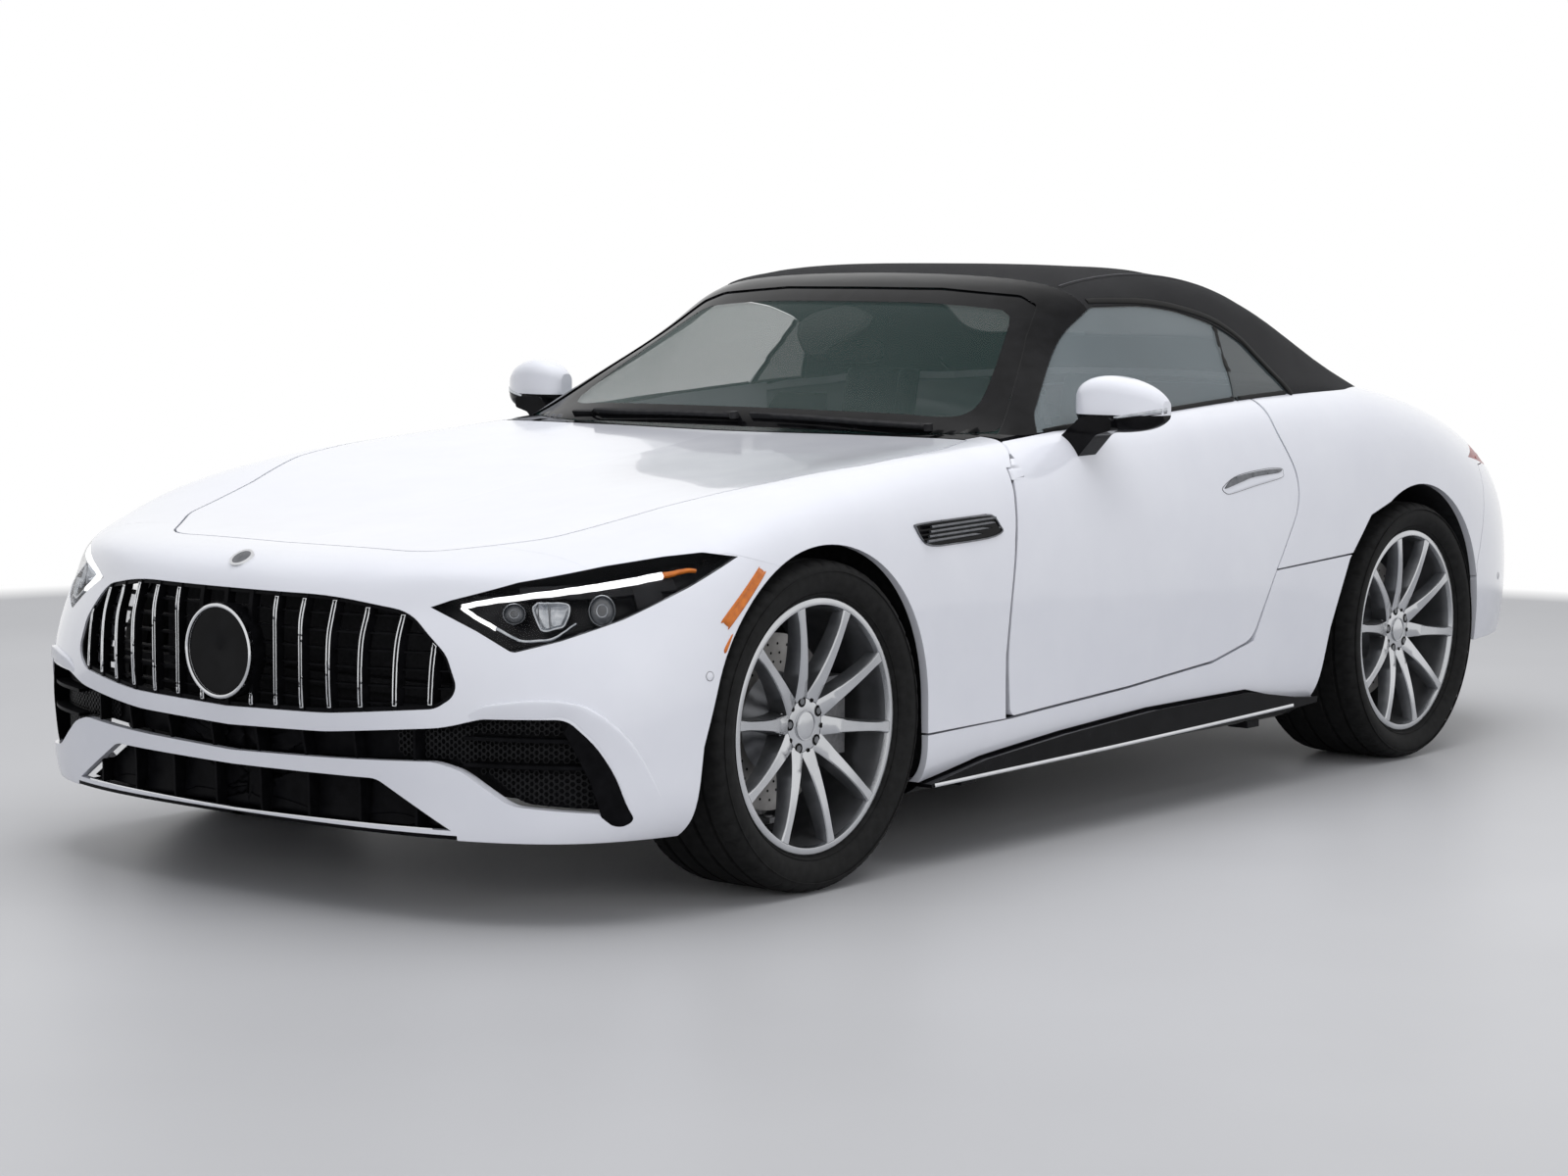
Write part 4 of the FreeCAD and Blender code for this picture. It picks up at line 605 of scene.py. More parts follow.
def bead(build, line, normals, width, height, mat=0, sink=0.001, closed=False):
    """A raised band along a line; two widths are those of its start and its end."""
    first, last = width if isinstance(width, tuple) else (width, width)
    rings = []
    count = len(line)
    for k, spot in enumerate(line):
        if closed:
            ahead = line[(k + 1) % count] - line[k - 1]
        else:
            ahead = line[min(k + 1, count - 1)] - line[max(k - 1, 0)]
        share = k / max(count - 1, 1)
        half = (first + (last - first) * share) / 2
        up = normals[k]
        across = ahead.cross(up).normalized()
        section = ((-half, -sink), (-half, 0.55 * height), (-0.72 * half, height),
                   (0.72 * half, height), (half, 0.55 * height), (half, -sink))
        rings.append([spot + across * a + up * b for a, b in section])
    if closed:
        rings.append(rings[0])
    ring_strip(build, rings, mat, caps=not closed)


def patch(build, outline, normals, height, mat=0, rings=6, edge=0.0004, sink=0.001):
    """A crowned cover inside a closed outline that lies on a surface."""
    count = len(outline)
    middle = sum(outline, Vector()) / count
    up = sum(normals, Vector()).normalized()
    loops = [[p - n * sink for p, n in zip(outline, normals)]]
    for j in range(rings):
        share = j / rings
        lift = edge + (height - edge) * math.sin(min(1.0, 2.2 * share) * math.pi / 2)
        loops.append([middle + (p - middle) * (1 - share) + (n * (1 - share) + up * share) * lift
                      for p, n in zip(outline, normals)])
    start, last = len(build.verts), rings * count
    ring_strip(build, loops, mat, caps=False, closed=False)
    faces = [(j + count - 1, j, j + count, j + 2 * count - 1) for j in range(0, last, count)]
    faces += [(last + k, last + (k + 1) % count, last + count) for k in range(count)]
    build.verts.append(middle + up * height)
    build.faces += [tuple(start + i for i in face) for face in faces]
    build.mats += [mat] * len(faces)


GUNMETAL = finish("gunmetal", (0.10, 0.105, 0.115), (0.17, 0.175, 0.19), 0.85, 0.24, 0.34, 40.0,
                  0.03, 700.0, edge=0.0008)
MESH_BLACK = finish("mesh_black", (0.007, 0.007, 0.008), (0.014, 0.014, 0.015), 0.0, 0.38, 0.5,
                    80.0, 0.08, 900.0, specular=0.12, edge=0.0006)
SEAM_LINE = finish("seam_line", (0.10, 0.10, 0.11), (0.16, 0.16, 0.17), 0.0, 0.5, 0.6, 50.0)
RUBBER_SEAL = finish("rubber_seal", (0.004, 0.004, 0.004), (0.009, 0.009, 0.009), 0.0, 0.5, 0.65,
                     70.0, 0.1, 900.0, specular=0.2)

# Grille: chrome edges on the slats and a plain round badge
GRILLE = ("grille",)
SLAT_PITCH, SLAT_HALF, SLAT_EACH_SIDE, SLAT_LIFT = 0.076, 0.0036, 7, 0.0008
SLAT_LOW_Z, SLAT_HIGH_Z, SLAT_STEP, SLAT_LEAST = 0.400, 0.680, 0.006, 5
BADGE_Z, BADGE_R, BADGE_GAP = 0.534, 0.102, 0.006
grille_trim = Build()
for k in range(-SLAT_EACH_SIDE, SLAT_EACH_SIDE + 1):
    x = k * SLAT_PITCH
    runs = {1: [], -1: []}
    for flank, run in runs.items():
        z = SLAT_LOW_Z
        while z < SLAT_HIGH_Z:
            spot, _ = from_front(GRILLE, x + flank * SLAT_HALF, z)
            clear = math.hypot(x, z - BADGE_Z) > BADGE_R + BADGE_GAP
            if spot and clear and (not run or z - run[-1].z < 2 * SLAT_STEP):
                run.append(spot - Vector((0, SLAT_LIFT, 0)))
            z += SLAT_STEP
    if min(len(run) for run in runs.values()) > SLAT_LEAST:
        loop = runs[1][1:-1] + runs[-1][-2:0:-1]
        tube(grille_trim, loop + loop[:1], 0.0017, 6)
grille_trim.piece("slat_edges", [CHROME], "body", "grille", 60.0)

badge = Build()
badge_y = min(v.co.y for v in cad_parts["grille"].data.vertices)
lathe(badge, [(0.0, 0.0935), (-0.0045, 0.0942), (-0.0062, 0.0970), (-0.0058, 0.1000),
              (-0.0040, 0.1018), (0.006, 0.1020), (0.006, 0.0935)], 96)
lathe(badge, [(0.003, 0.0003), (0.0022, 0.040), (0.0012, 0.080), (0.0010, 0.0938), (0.006, 0.0938),
              (0.006, 0.0003)], 72, 1)
badge.moved(Matrix.Translation((0, badge_y, BADGE_Z)) @ Matrix.Rotation(math.radians(90), 4, "Z"))
badge.piece("badge_ring", [CHROME, BLACK_GLOSS], "body", "grille", 35.0)

# Plain round emblem that lies on the nose
EMBLEM_Z, EMBLEM_TILT, EMBLEM_LIFT = 0.727, Vector((0, -0.12, 0)), 0.0035
emblem = Build()
lathe(emblem, [(0.0, 0.0215), (0.0016, 0.0225), (0.0022, 0.0250), (0.0016, 0.0272),
               (-0.007, 0.0278)], 48, closed=False)
lathe(emblem, [(0.0016, 0.0002), (0.0012, 0.012), (0.0004, 0.0216)], 48, 1, closed=False)
spot, normal = from_front(("front_bumper", "bonnet"), 0, EMBLEM_Z)
emblem.moved(Matrix.Translation(spot + normal * EMBLEM_LIFT)
             @ turn_to((normal + EMBLEM_TILT).normalized()))
emblem.piece("nose_emblem", [CHROME, GUNMETAL], "body", "front_bumper")

# Headlamps: a clear cover over a black housing with light guides and two projectors
LED_TOP = [(580, -764, 663), (647, -732, 679), (743, -660, 700), (817, -563, 718), (875, -453, 732)]
LED_LEG = [(580, -764, 661), (614, -755, 643), (655, -741, 624)]
LAMP_HOOK = [(656, -739, 624), (703, -719, 600), (739, -699, 601), (768, -679, 608),
             (803, -646, 639)]
LAMP_AMBER = [(876, -451, 732), (886, -427, 735), (899, -398, 738), (908, -384, 736)]
LAMP_BOWL = [(724, -702, 672), (752, -684, 683), (785, -652, 679), (784, -662, 640),
             (765, -672, 628), (742, -695, 626)]
LAMP_SHELF = [(690, -705, 700), (770, -650, 715), (850, -560, 722), (905, -440, 722)]
LAMP_BULGE = [(869, -527, 693), (890, -470, 700)]
# Points, width, height, material and sunk depth of each light guide
LAMP_LINES = ((LED_TOP, (0.0085, 0.0125), 0.0022, 0, 0.010), (LED_LEG, 0.0085, 0.0022, 0, 0.010),
              (LAMP_HOOK, (0.0065, 0.0035), 0.0020, 2, 0.008),
              (LAMP_AMBER, (0.011, 0.005), 0.0020, 1, 0.006))
# Spot, radius, squeeze and depth under the cover of each projector
PROJECTORS = (((836, -597, 667), 0.030, 0.86, 0.020), ((685, -720, 655), 0.020, 1.1, 0.016))
LAMP_OUT, LAMP_FORWARD, COVER_SHARE = (0.60, -0.63, 0.49), (0.62, -0.77, 0.10), 0.35


def lens(build, centre, direction, radius, squeeze):
    """A projector: a bezel round a domed lens, looking along a direction."""
    part = Build()
    lathe(part, [(-0.018, radius * 1.06), (0.004, radius * 1.10), (0.007, radius * 1.04),
                 (0.004, radius * 0.98), (-0.002, radius * 0.95)], 40, 2, closed=False)
    lathe(part, [(0.004, radius * 0.001), (0.0032, radius * 0.45), (0.0005, radius * 0.8),
                 (-0.004, radius * 0.96)], 40, 3, closed=False)
    lathe(part, [(0.0046, radius * 0.40), (0.0052, radius * 0.44), (0.0040, radius * 0.48)], 32,
          2, closed=False)
    build.join(part.moved(Matrix.Translation(centre) @ turn_to(direction)
                          @ Matrix.Diagonal((1, squeeze, 1, 1))))


LAMPS = ("headlamps",)
for side, sign in BODY_SIDES:
    out, forward = (Vector((sign * x, y, z)) for x, y, z in (LAMP_OUT, LAMP_FORWARD))
    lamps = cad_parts["headlamps"]
    verts = [lamps.matrix_world @ v.co for v in lamps.data.vertices]
    ours = [p for p in lamps.data.polygons if p.center.x * sign > 0]
    for name, mat, sharp, outer in (("lamp_cover_", COVER_GLASS, None, True),
                                    ("lamp_housing_", LAMP_BLACK, 30.0, False)):
        part = Build()
        part.add(verts, [tuple(p.vertices) for p in ours
                         if (p.normal.dot(out) > COVER_SHARE) == outer])
        part.piece(name + side, [mat], "body", "headlamps", sharp, replaces=["headlamps"])
    inner = Build()
    for points, width, height, mat, sink in LAMP_LINES:
        bead(inner, *side_line(LAMPS, points, side, depth=0.006), width, height, mat, sink)
    for spot, radius, squeeze, depth in PROJECTORS:
        spot, normal = on(LAMPS, sided([spot], side)[0])
        lens(inner, spot - normal * depth, forward.normalized(), radius, squeeze)
    spots, normals = side_line(LAMPS, LAMP_BOWL, side, 5, True, 0.015)
    patch(inner, spots, normals, -0.012, 2, 5, 0.0, 0.004)
    bead(inner, spots, normals, 0.004, 0.002, 2, 0.004, True)
    for share in (0.34, 0.67):
        low = spots[int(share * len(spots) * 0.28)]
        high = spots[int(len(spots) * (1 - share * 0.35)) % len(spots)]
        tube(inner, [low, (low + high) / 2 - out * 0.004, high], 0.0012, 6, 3)
    bead(inner, *side_line(LAMPS, LAMP_SHELF, side, depth=0.018), 0.030, 0.003, 4, 0.012)
    bead(inner, *side_line(LAMPS, LAMP_BULGE, side, depth=0.024), 0.055, 0.010, 4, 0.012)
    inner.piece("lamp_inside_" + side, [LED_WHITE, AMBER, LAMP_GREY, LENS_GLASS, LAMP_BLACK],
                "body", "headlamps", 50.0, replaces=["headlamps"])

# Front intakes: honeycomb at the sides and a raised edge over each; bright strips at the front
# and along the sills
INTAKES = ("front_intakes",)
HEX_PITCH, HEX_WALL, HEX_ROW, HEX_COLUMN, HEX_STEP = 0.0115, 0.0018, 0.62, 1.5, 0.020
COMB_LOW_X, COMB_HIGH_X, COMB_LOW_Z, COMB_HIGH_Z = 0.44, 0.86, 0.225, 0.440
FIN_EDGE = [(0.845, 0.250), (0.836, 0.302), (0.815, 0.362), (0.790, 0.420), (0.790, 0.440)]
LOW_OPENING_X, LOW_OPENING_Z, LIP_LOW_Z = 0.56, 0.325, 0.178


def fin_edge(z):
    """How far out the plate is seen at a height, before the fin covers it."""
    for (x0, z0), (x1, z1) in zip(FIN_EDGE, FIN_EDGE[1:]):
        if z <= z1:
            return x0 + (x1 - x0) * max(0.0, z - z0) / (z1 - z0)
    return FIN_EDGE[-1][0]


def honeycomb(build, sign):
    """Six-sided cells laid on the plate behind an intake, wherever the plate is seen."""
    lift, low = Vector((0, -0.007, 0)), Vector((0, -0.0005, 0))
    for row in range(int((COMB_HIGH_Z - COMB_LOW_Z) / (HEX_PITCH * HEX_ROW))):
        for column in range(int((COMB_HIGH_X - COMB_LOW_X) / (HEX_PITCH * HEX_COLUMN))):
            x = COMB_LOW_X + HEX_PITCH * HEX_COLUMN * (column + 0.5 * (row % 2))
            z = COMB_LOW_Z + HEX_PITCH * HEX_ROW * row
            if x + 0.5 * HEX_PITCH > fin_edge(z) or (x < LOW_OPENING_X and z < LOW_OPENING_Z):
                continue
            corners = [from_front(INTAKES, sign * (x + HEX_PITCH * 0.54 * math.cos(a)),
                                  z + HEX_PITCH * 0.70 * math.sin(a))[0] for a in circle(6)]
            if None in corners or max(c.y for c in corners) - min(c.y for c in corners) > HEX_STEP:
                continue
            middle = sum(corners, Vector()) / 6
            inner = [middle + (c - middle) * (1 - HEX_WALL / HEX_PITCH * 1.9) for c in corners]
            faces = []
            for k in range(6):
                other = (k + 1) % 6
                faces += [(k, other, 6 + other, 6 + k), (6 + k, 6 + other, 12 + other, 12 + k)]
            build.add([c + lift for c in corners + inner] + [c + low for c in inner], faces)


cut_copy("front_intakes", "intake_plates", LIP_LOW_Z, [GRILLE_BLACK], "body", upper_only=True)
comb = Build()
for sign in (1, -1):
    honeycomb(comb, sign)
comb.piece("intake_honeycomb", [MESH_BLACK], "body", "front_intakes", smooth=False)

FLARE_OUT = [(613, -766, 438), (644, -753, 456), (694, -730, 466), (752, -699, 472),
             (806, -661, 467), (837, -633, 452), (865, -599, 419), (890, -560, 367),
             (912, -509, 270)]
FLARE_IN = [(620, 428), (645, 431), (695, 434), (750, 436), (800, 437), (826, 412), (847, 383),
            (867, 329), (884, 250)]
FLARE_HEIGHT, FLARE_BASE = 0.0080, 0.0003
FLARE_RING = ((-0.05, -0.0006), (0.0, 0.72), (0.03, 0.98), (0.10, 1.0), (0.30, 0.86), (0.60, 0.55),
              (0.85, 0.26), (1.0, 0.06))
BUMPER = ("front_bumper",)
for side, sign in BODY_SIDES:
    outer = curve_through(sided(FLARE_OUT, side), 5)
    inner = curve_through([Vector((sign * x / 1000, 0, z / 1000)) for x, z in FLARE_IN], 5)
    columns = []
    for k, (a, b) in enumerate(zip(outer, inner)):
        share = k / (len(outer) - 1)
        fade = min(1.0, 5 * share, 3.0 * (1 - share))
        spot_a, _ = on(BUMPER, a)
        spot_b = from_front(BUMPER, b.x, b.z + 0.001)[0] or spot_a
        ring = []
        for across, lift in FLARE_RING:
            place, normal = on(BUMPER, spot_a.lerp(spot_b, across))
            raised = lift * FLARE_HEIGHT * fade + FLARE_BASE if lift > 0 else lift
            ring.append(place + normal * raised)
        columns.append(ring)
    flare = Build()
    ring_strip(flare, columns, 0, caps=False, closed=False)
    flare.piece("intake_flare_" + side, [PAINT], "body", "front_bumper")

STRIP_FRONT = ((-535, -787), (-380, -815), (-190, -832), (0, -838), (190, -832), (380, -815),
               (535, -787))
STRIP_SIDE = ((405, 186), (760, 190), (1150, 195), (1550, 202), (1850, 208), (2020, 212))
STRIP_Z, STRIP_LIFT = 191, 3
strip = Build()
points = curve_through([drawn(x, y, STRIP_Z) for x, y in STRIP_FRONT], 8)
bead(strip, *laid(("front_intakes", "front_bumper"), points), 0.007, 0.0025, 0, 0.002)
for side, sign in BODY_SIDES:
    hits = [from_side(("side_skirts", "sill_left", "sill_right"), sign,
                      *drawn(0, y, z + STRIP_LIFT).yz)[0] for y, z in STRIP_SIDE]
    line = curve_through([spot for spot in hits if spot], 8)
    bead(strip, line, [Vector((sign, 0, 0.15)).normalized()] * len(line), 0.009, 0.0025, 0, 0.003)
strip.piece("bright_strips", [CHROME], "body", "side_skirts", 50.0)

# Side vents, side markers and sensors
VENT = [(935, 342, 774), (934, 352, 783), (927, 500, 787), (919, 633, 788), (918, 668, 783),
        (920, 692, 760), (922, 697, 747), (926, 640, 736), (934, 483, 732), (937, 414, 732),
        (938, 370, 742)]
MARKER = [(948, -240, 719), (948, -230, 724), (949, -219, 716), (949, -221, 706), (952, -328, 611),
          (952, -338, 609), (951, -349, 618), (951, -349, 628)]
LOW_MARKER = [(951, -326, 590), (952, -332, 588), (953, -352, 562), (952, -346, 556)]
SENSORS = [(948, -393, 510), (905, 3290, 470)]
VENT_BARS, VENT_BAR_Y, VENT_BAR_Z, VENT_BAR_LONG, VENT_BAR_PITCH = 4, 0.372, 0.7445, 0.295, 0.0105
for side, sign in BODY_SIDES:
    skin = ("fender_" + side, "front_bumper")
    vent = Build()
    outline = curve_through(sided(VENT, side), 5, True)
    normals = [Vector((sign, 0, 0.08)).normalized()] * len(outline)
    patch(vent, outline, normals, 0.0006, 0, 4, 0.0006, 0.004)
    bead(vent, outline, normals, 0.0045, 0.0036, 1, 0.003, True)
    middle = sum(outline, Vector()) / len(outline)
    for k in range(VENT_BARS):
        line = [Vector((middle.x + sign * (0.0042 - 0.030 * (s - 0.5)),
                        FRONT_AXLE_Y + VENT_BAR_Y + k * 0.004 + VENT_BAR_LONG * s,
                        VENT_BAR_Z + VENT_BAR_PITCH * k + 0.004 * s))
                for s in (0, 0.2, 0.4, 0.6, 0.8, 1)]
        bead(vent, line, [Vector((sign, 0, 0.5)).normalized()] * 6, 0.0062, 0.0030, 1, 0.003)
    vent.piece("side_vent_" + side, [BLACK_GLOSS, GUNMETAL], "body", "fender_" + side, 45.0)
    marker = Build()
    patch(marker, *side_line(skin, MARKER, side, 5, True), 0.0035, 0, 6, 0.0012)
    patch(marker, *side_line(skin, LOW_MARKER, side, 4, True), 0.0018, 0, 4, 0.0008)
    marker.piece("side_marker_" + side, [AMBER], "body", "front_bumper")
    sensors = Build()
    for spot in sided(SENSORS, side):
        place, normal = on(("front_bumper", "quarter_" + side, "rear_bumper"), spot)
        part = Build()
        lathe(part, [(0.0007, 0.0002), (0.0007, 0.0085), (0.0002, 0.0092)], 32, closed=False)
        lathe(part, [(0.0006, 0.0092), (0.0009, 0.0098), (0.0003, 0.0104)], 32, 1, closed=False)
        sensors.join(part.moved(Matrix.Translation(place) @ turn_to(normal)))
    sensors.piece("parking_sensors_" + side, [PAINT, SEAM_LINE], "body", "front_bumper")

# Door handles, belt trims and the posts behind the door glass
HANDLE = [(917, 1696, 804), (919, 1704, 789), (921, 1735, 786), (923, 1850, 801), (925, 1973, 816),
          (923, 1985, 828), (921, 1979, 840), (918, 1904, 842), (915, 1771, 830)]
GRIP = [(917, 1700, 800), (915, 1740, 822), (915, 1800, 832), (917, 1904, 839), (921, 1976, 838),
        (920, 1960, 829), (918, 1880, 826), (917, 1800, 818), (917, 1740, 806)]
BELT_DOOR = [(801, 1050, 965), (809, 1240, 978), (806, 1420, 990), (811, 1600, 1001),
             (814, 1840, 1016), (815, 1922, 1020)]
BELT_REAR = [(816, 1936, 1021), (818, 2040, 1026), (820, 2140, 1030), (821, 2165, 1031)]
POST = [(700, 1994, 1206), (736, 1972, 1145), (776, 1950, 1084), (806, 1932, 1030),
        (819, 1924, 1004)]
for side, sign in BODY_SIDES:
    door, body, pane = "door_" + side, "door_body_" + side, "door_glass_" + side
    handle = Build()
    spots, normals = side_line((door,), HANDLE, side, 6, True)
    patch(handle, spots, normals, 0.0030, 0, 6, 0.0010)
    bead(handle, spots, normals, 0.0016, 0.0012, 2, 0.002, True)
    patch(handle, *side_line((door,), GRIP, side, 5, True, -0.0026), 0.0030, 1, 4, 0.0012)
    handle.piece("door_handle_" + side, [PAINT, GUNMETAL, SEAM_LINE], body, door, 45.0)
    for points, name, rides in ((BELT_DOOR, pane, body), (BELT_REAR, "rear_glass", "body")):
        trim = Build()
        spots, _ = side_line((name,), points, side)
        bead(trim, spots, [Vector((sign * 0.96, 0, 0.28))] * len(spots), 0.012, 0.004, 0, 0.003)
        trim.piece("belt_trim_%s_%s" % (name, side), [RUBBER_SEAL], rides, name)
    post = Build()
    spots, _ = side_line(("rear_glass", pane), POST, side)
    bead(post, spots, [Vector((sign * 0.88, 0, 0.47))] * len(spots), 0.020, 0.003, 0, 0.002)
    post.piece("glass_post_" + side, [RUBBER_SEAL], "body", "rear_glass")

# Painted corner of the door, in the notch between its front edge and the fender
SEAM_LOW, SEAM_HIGH, SEAM_GAP, SEAM_DEPTH, NOTCH = 0.862, 0.925, 0.006, 0.020, 0.016
SEAM_ROWS, LEAST_X = 16, 0.80


def edge_hit(name, sign, z, start, stop, least_x):
    """The first outer point of a node at a height, going along the car from start to stop."""
    steps = int(abs(stop - start) / 0.001)
    for k in range(steps + 1):
        y = start + (stop - start) * k / steps + FRONT_AXLE_Y
        spot, _ = from_side((name,), sign, y, z)
        if spot and abs(spot.x) > max(least_x, LEAST_X):
            return spot
    return None


for side, sign in BODY_SIDES:
    rows = []
    for k in range(SEAM_ROWS + 1):
        z = SEAM_LOW + (SEAM_HIGH - SEAM_LOW) * k / SEAM_ROWS
        far = edge_hit("door_" + side, sign, z, 0.800, 0.880, 0.0)
        if far is None:
            continue
        near = edge_hit("fender_" + side, sign, z, 0.845, 0.765, abs(far.x) - SEAM_DEPTH)
        if near and far.y - near.y > NOTCH:
            out = Vector((sign * 0.0006, 0, 0))
            stop = near.lerp(far, SEAM_GAP / (far.y - near.y)) + out
            rows.append([far + Vector((0, 0.006, 0)) + out, far + out, (far + stop) / 2, stop,
                         stop - Vector((sign * 0.004, 0, 0))])
    if len(rows) > 2:
        corner = Build()
        ring_strip(corner, rows, 0, caps=False, closed=False)
        corner.piece("door_corner_" + side, [PAINT], "door_body_" + side, "door_" + side)

# Mirrors: painted cap over a black lower half, and a side lamp
CAP_LINE, LAMP_TO_SEAM = 1.006, 0.007
MIRROR_LAMP = [(962, 1110, 1000), (1006, 1122, 1007), (1040, 1146, 1014), (1062, 1182, 1020)]
for side, sign in BODY_SIDES:
    name, body = "mirror_" + side, "door_body_" + side
    cut_copy(name, "housing_" + name, CAP_LINE, [PAINT, BLACK_GLOSS], body)
    lamp = Build()
    spots, normals = side_line((name,), MIRROR_LAMP, side)
    bead(lamp, spots, normals, (0.006, 0.010), 0.0020, 0, 0.002)
    bead(lamp, [s - Vector((0, 0, LAMP_TO_SEAM)) for s in spots], normals, 0.002, 0.0014, 1, 0.002)
    lamp.piece("mirror_lamp_" + side, [LAMP_GREY, BLACK_GLOSS], body, name, 50.0)

# Soft top: one stretched sheet of cloth with stitched seams
FABRIC_LOW, FABRIC_HIGH, THREADS = (0.010, 0.010, 0.011), (0.021, 0.021, 0.022), 950.0


def fabric(name):
    """Black woven cloth."""
    mat, tree, shader = material(name)
    coords = tree.nodes.new("ShaderNodeTexCoord")
    threads = []
    for heading in ("X", "Y"):
        wave = add_node(tree, "ShaderNodeTexWave", wave_type="BANDS", bands_direction=heading,
                        Scale=THREADS / 3.0, Distortion=0.6, Detail=1.0)
        tree.links.new(coords.outputs["Object"], wave.inputs["Vector"])
        threads.append(wave.outputs["Fac"])
    weave = compute(tree, "MULTIPLY", *threads)
    both = compute(tree, "MULTIPLY_ADD", weave, 0.35, object_noise(tree, 5.0, 5.0))
    tree.links.new(ramp(tree, both, FABRIC_LOW, FABRIC_HIGH, 0.3, 0.9), shader.inputs["Base Color"])
    bump = add_node(tree, "ShaderNodeBump", Strength=0.5, Distance=0.0006)
    tree.links.new(weave, bump.inputs["Height"])
    tree.links.new(bump.outputs["Normal"], shader.inputs["Normal"])
    tune(shader, Roughness=0.95, Specular_IOR_Level=0.08, Sheen_Weight=0.06, Sheen_Roughness=0.6)
    return mat


CLOTH = fabric("soft_top_cloth")
TOP_THICK, TOP_AXIS_Z, TOP_AXIS_Y, OUTER_SHARE = 0.004, 0.95, (0.15, 1.05), 0.30
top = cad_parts["soft_top"].data
outer_faces = []
for polygon in top.polygons:
    axis_y = min(max(polygon.center.y, TOP_AXIS_Y[0]), TOP_AXIS_Y[1])
    outward = polygon.center - Vector((0, axis_y, TOP_AXIS_Z))
    if polygon.normal.dot(outward.normalized()) > OUTER_SHARE:
        outer_faces.append(tuple(polygon.vertices))
canopy = Build()
canopy.add([v.co for v in top.vertices], outer_faces)
canopy = canopy.piece("canopy", [CLOTH], "body", "soft_top", replaces=["soft_top"])
with edit(canopy.data) as mesh:
    bmesh.ops.delete(mesh, geom=[v for v in mesh.verts if not v.link_faces], context="VERTS")
    cloth_area = sum(face.calc_area() for face in mesh.faces)
applied(canopy, "SOLIDIFY", thickness=TOP_THICK, offset=-1.0)
sharpen(canopy, 50.0)

TOP, STITCH = ("soft_top",), 0.0038
RAIL_SEAM = [(546, 1492, 1316), (560, 1640, 1340), (572, 1850, 1342), (590, 2100, 1316),
             (612, 2350, 1236), (640, 2600, 1104), (668, 2790, 1008)]
WINDOW_SEAL = [(622, 1500, 1272), (645, 1600, 1275), (660, 1720, 1271), (672, 1850, 1254),
               (690, 1990, 1222), (722, 2080, 1176), (762, 2125, 1124), (800, 2160, 1072),
               (832, 2192, 1026)]
EDGE_START_Y, EDGE_STOP_Y, EDGE_STEP_Y, EDGE_STRIP_Y = 1.60, 1.00, 0.003, 0.010
EDGE_X, EDGE_POINTS, CROSS_X, CROSS_STEPS, CROSS_SEAMS_Y = 0.66, 25, 0.545, 40, (1880, 2215)
seams = Build()
for side, sign in BODY_SIDES:
    spots, normals = side_line(TOP, RAIL_SEAM, side, 10)
    bead(seams, spots, normals, 0.012, 0.0016)
    for shift in (-STITCH, STITCH):
        stitch = [s + Vector((sign * shift * 0.8, 0, -shift * 0.5)) + n * 0.0014
                  for s, n in zip(spots, normals)]
        bead(seams, stitch, normals, 0.0012, 0.0008, 1)
    bead(seams, *side_line(TOP, WINDOW_SEAL, side), 0.017, 0.0035, 2)
rear_edge = []
for k in range(EDGE_POINTS):
    x, y = EDGE_X * (2 * k / (EDGE_POINTS - 1) - 1), EDGE_START_Y
    while y > EDGE_STOP_Y and not from_above(TOP, x, y)[0]:
        y -= EDGE_STEP_Y
    hit = from_above(("tonneau_cover", "quarter_left", "quarter_right"), x, y + EDGE_STRIP_Y)
    if hit[0]:
        rear_edge.append(hit)
if len(rear_edge) > 3:
    bead(seams, *zip(*rear_edge), 0.022, 0.003, 2)
for y in CROSS_SEAMS_Y:
    hits = [from_above(TOP, CROSS_X * (2 * k / CROSS_STEPS - 1), y / 1000 + FRONT_AXLE_Y)
            for k in range(CROSS_STEPS + 1)]
    spots, normals = zip(*[hit for hit in hits if hit[0]])
    bead(seams, spots, normals, 0.010, 0.0014)
    bead(seams, [s + Vector((0, 0.0045, 0.0012)) for s in spots], normals, 0.0012, 0.0008, 1)
seams = seams.piece("canopy_seams", [CLOTH, SEAM_LINE, RUBBER_SEAL], "body", "soft_top", 60.0)

# Windscreen: dark border, camera housing with the inside mirror, and wipers
SCREEN = ("windscreen",)
FRIT_OUTER = [(0, 958), (240, 958), (477, 956), (650, 948), (722, 950), (734, 990), (672, 1072),
              (600, 1170), (552, 1252), (520, 1276), (470, 1287), (255, 1301), (0, 1302)]
FRIT_INNER = [(0, 1004), (240, 1003), (460, 1000), (585, 995), (628, 1003), (634, 1030),
              (606, 1088), (556, 1168), (517, 1226), (490, 1244), (446, 1254), (250, 1266),
              (0, 1268)]
SCREEN_MIDDLE_Z = 1.13


def screen_spot(x, z):
    """The outer face of the windscreen at a place, or the nearest one towards its middle."""
    for k in range(40):
        share = 1 - 0.01 * k
        spot, normal = from_front(SCREEN, x * share,
                                  SCREEN_MIDDLE_Z + (z - SCREEN_MIDDLE_Z) * share)
        if spot:
            return spot, normal
    return on(SCREEN, Vector((x, FRONT_AXLE_Y + 1.0, z)))


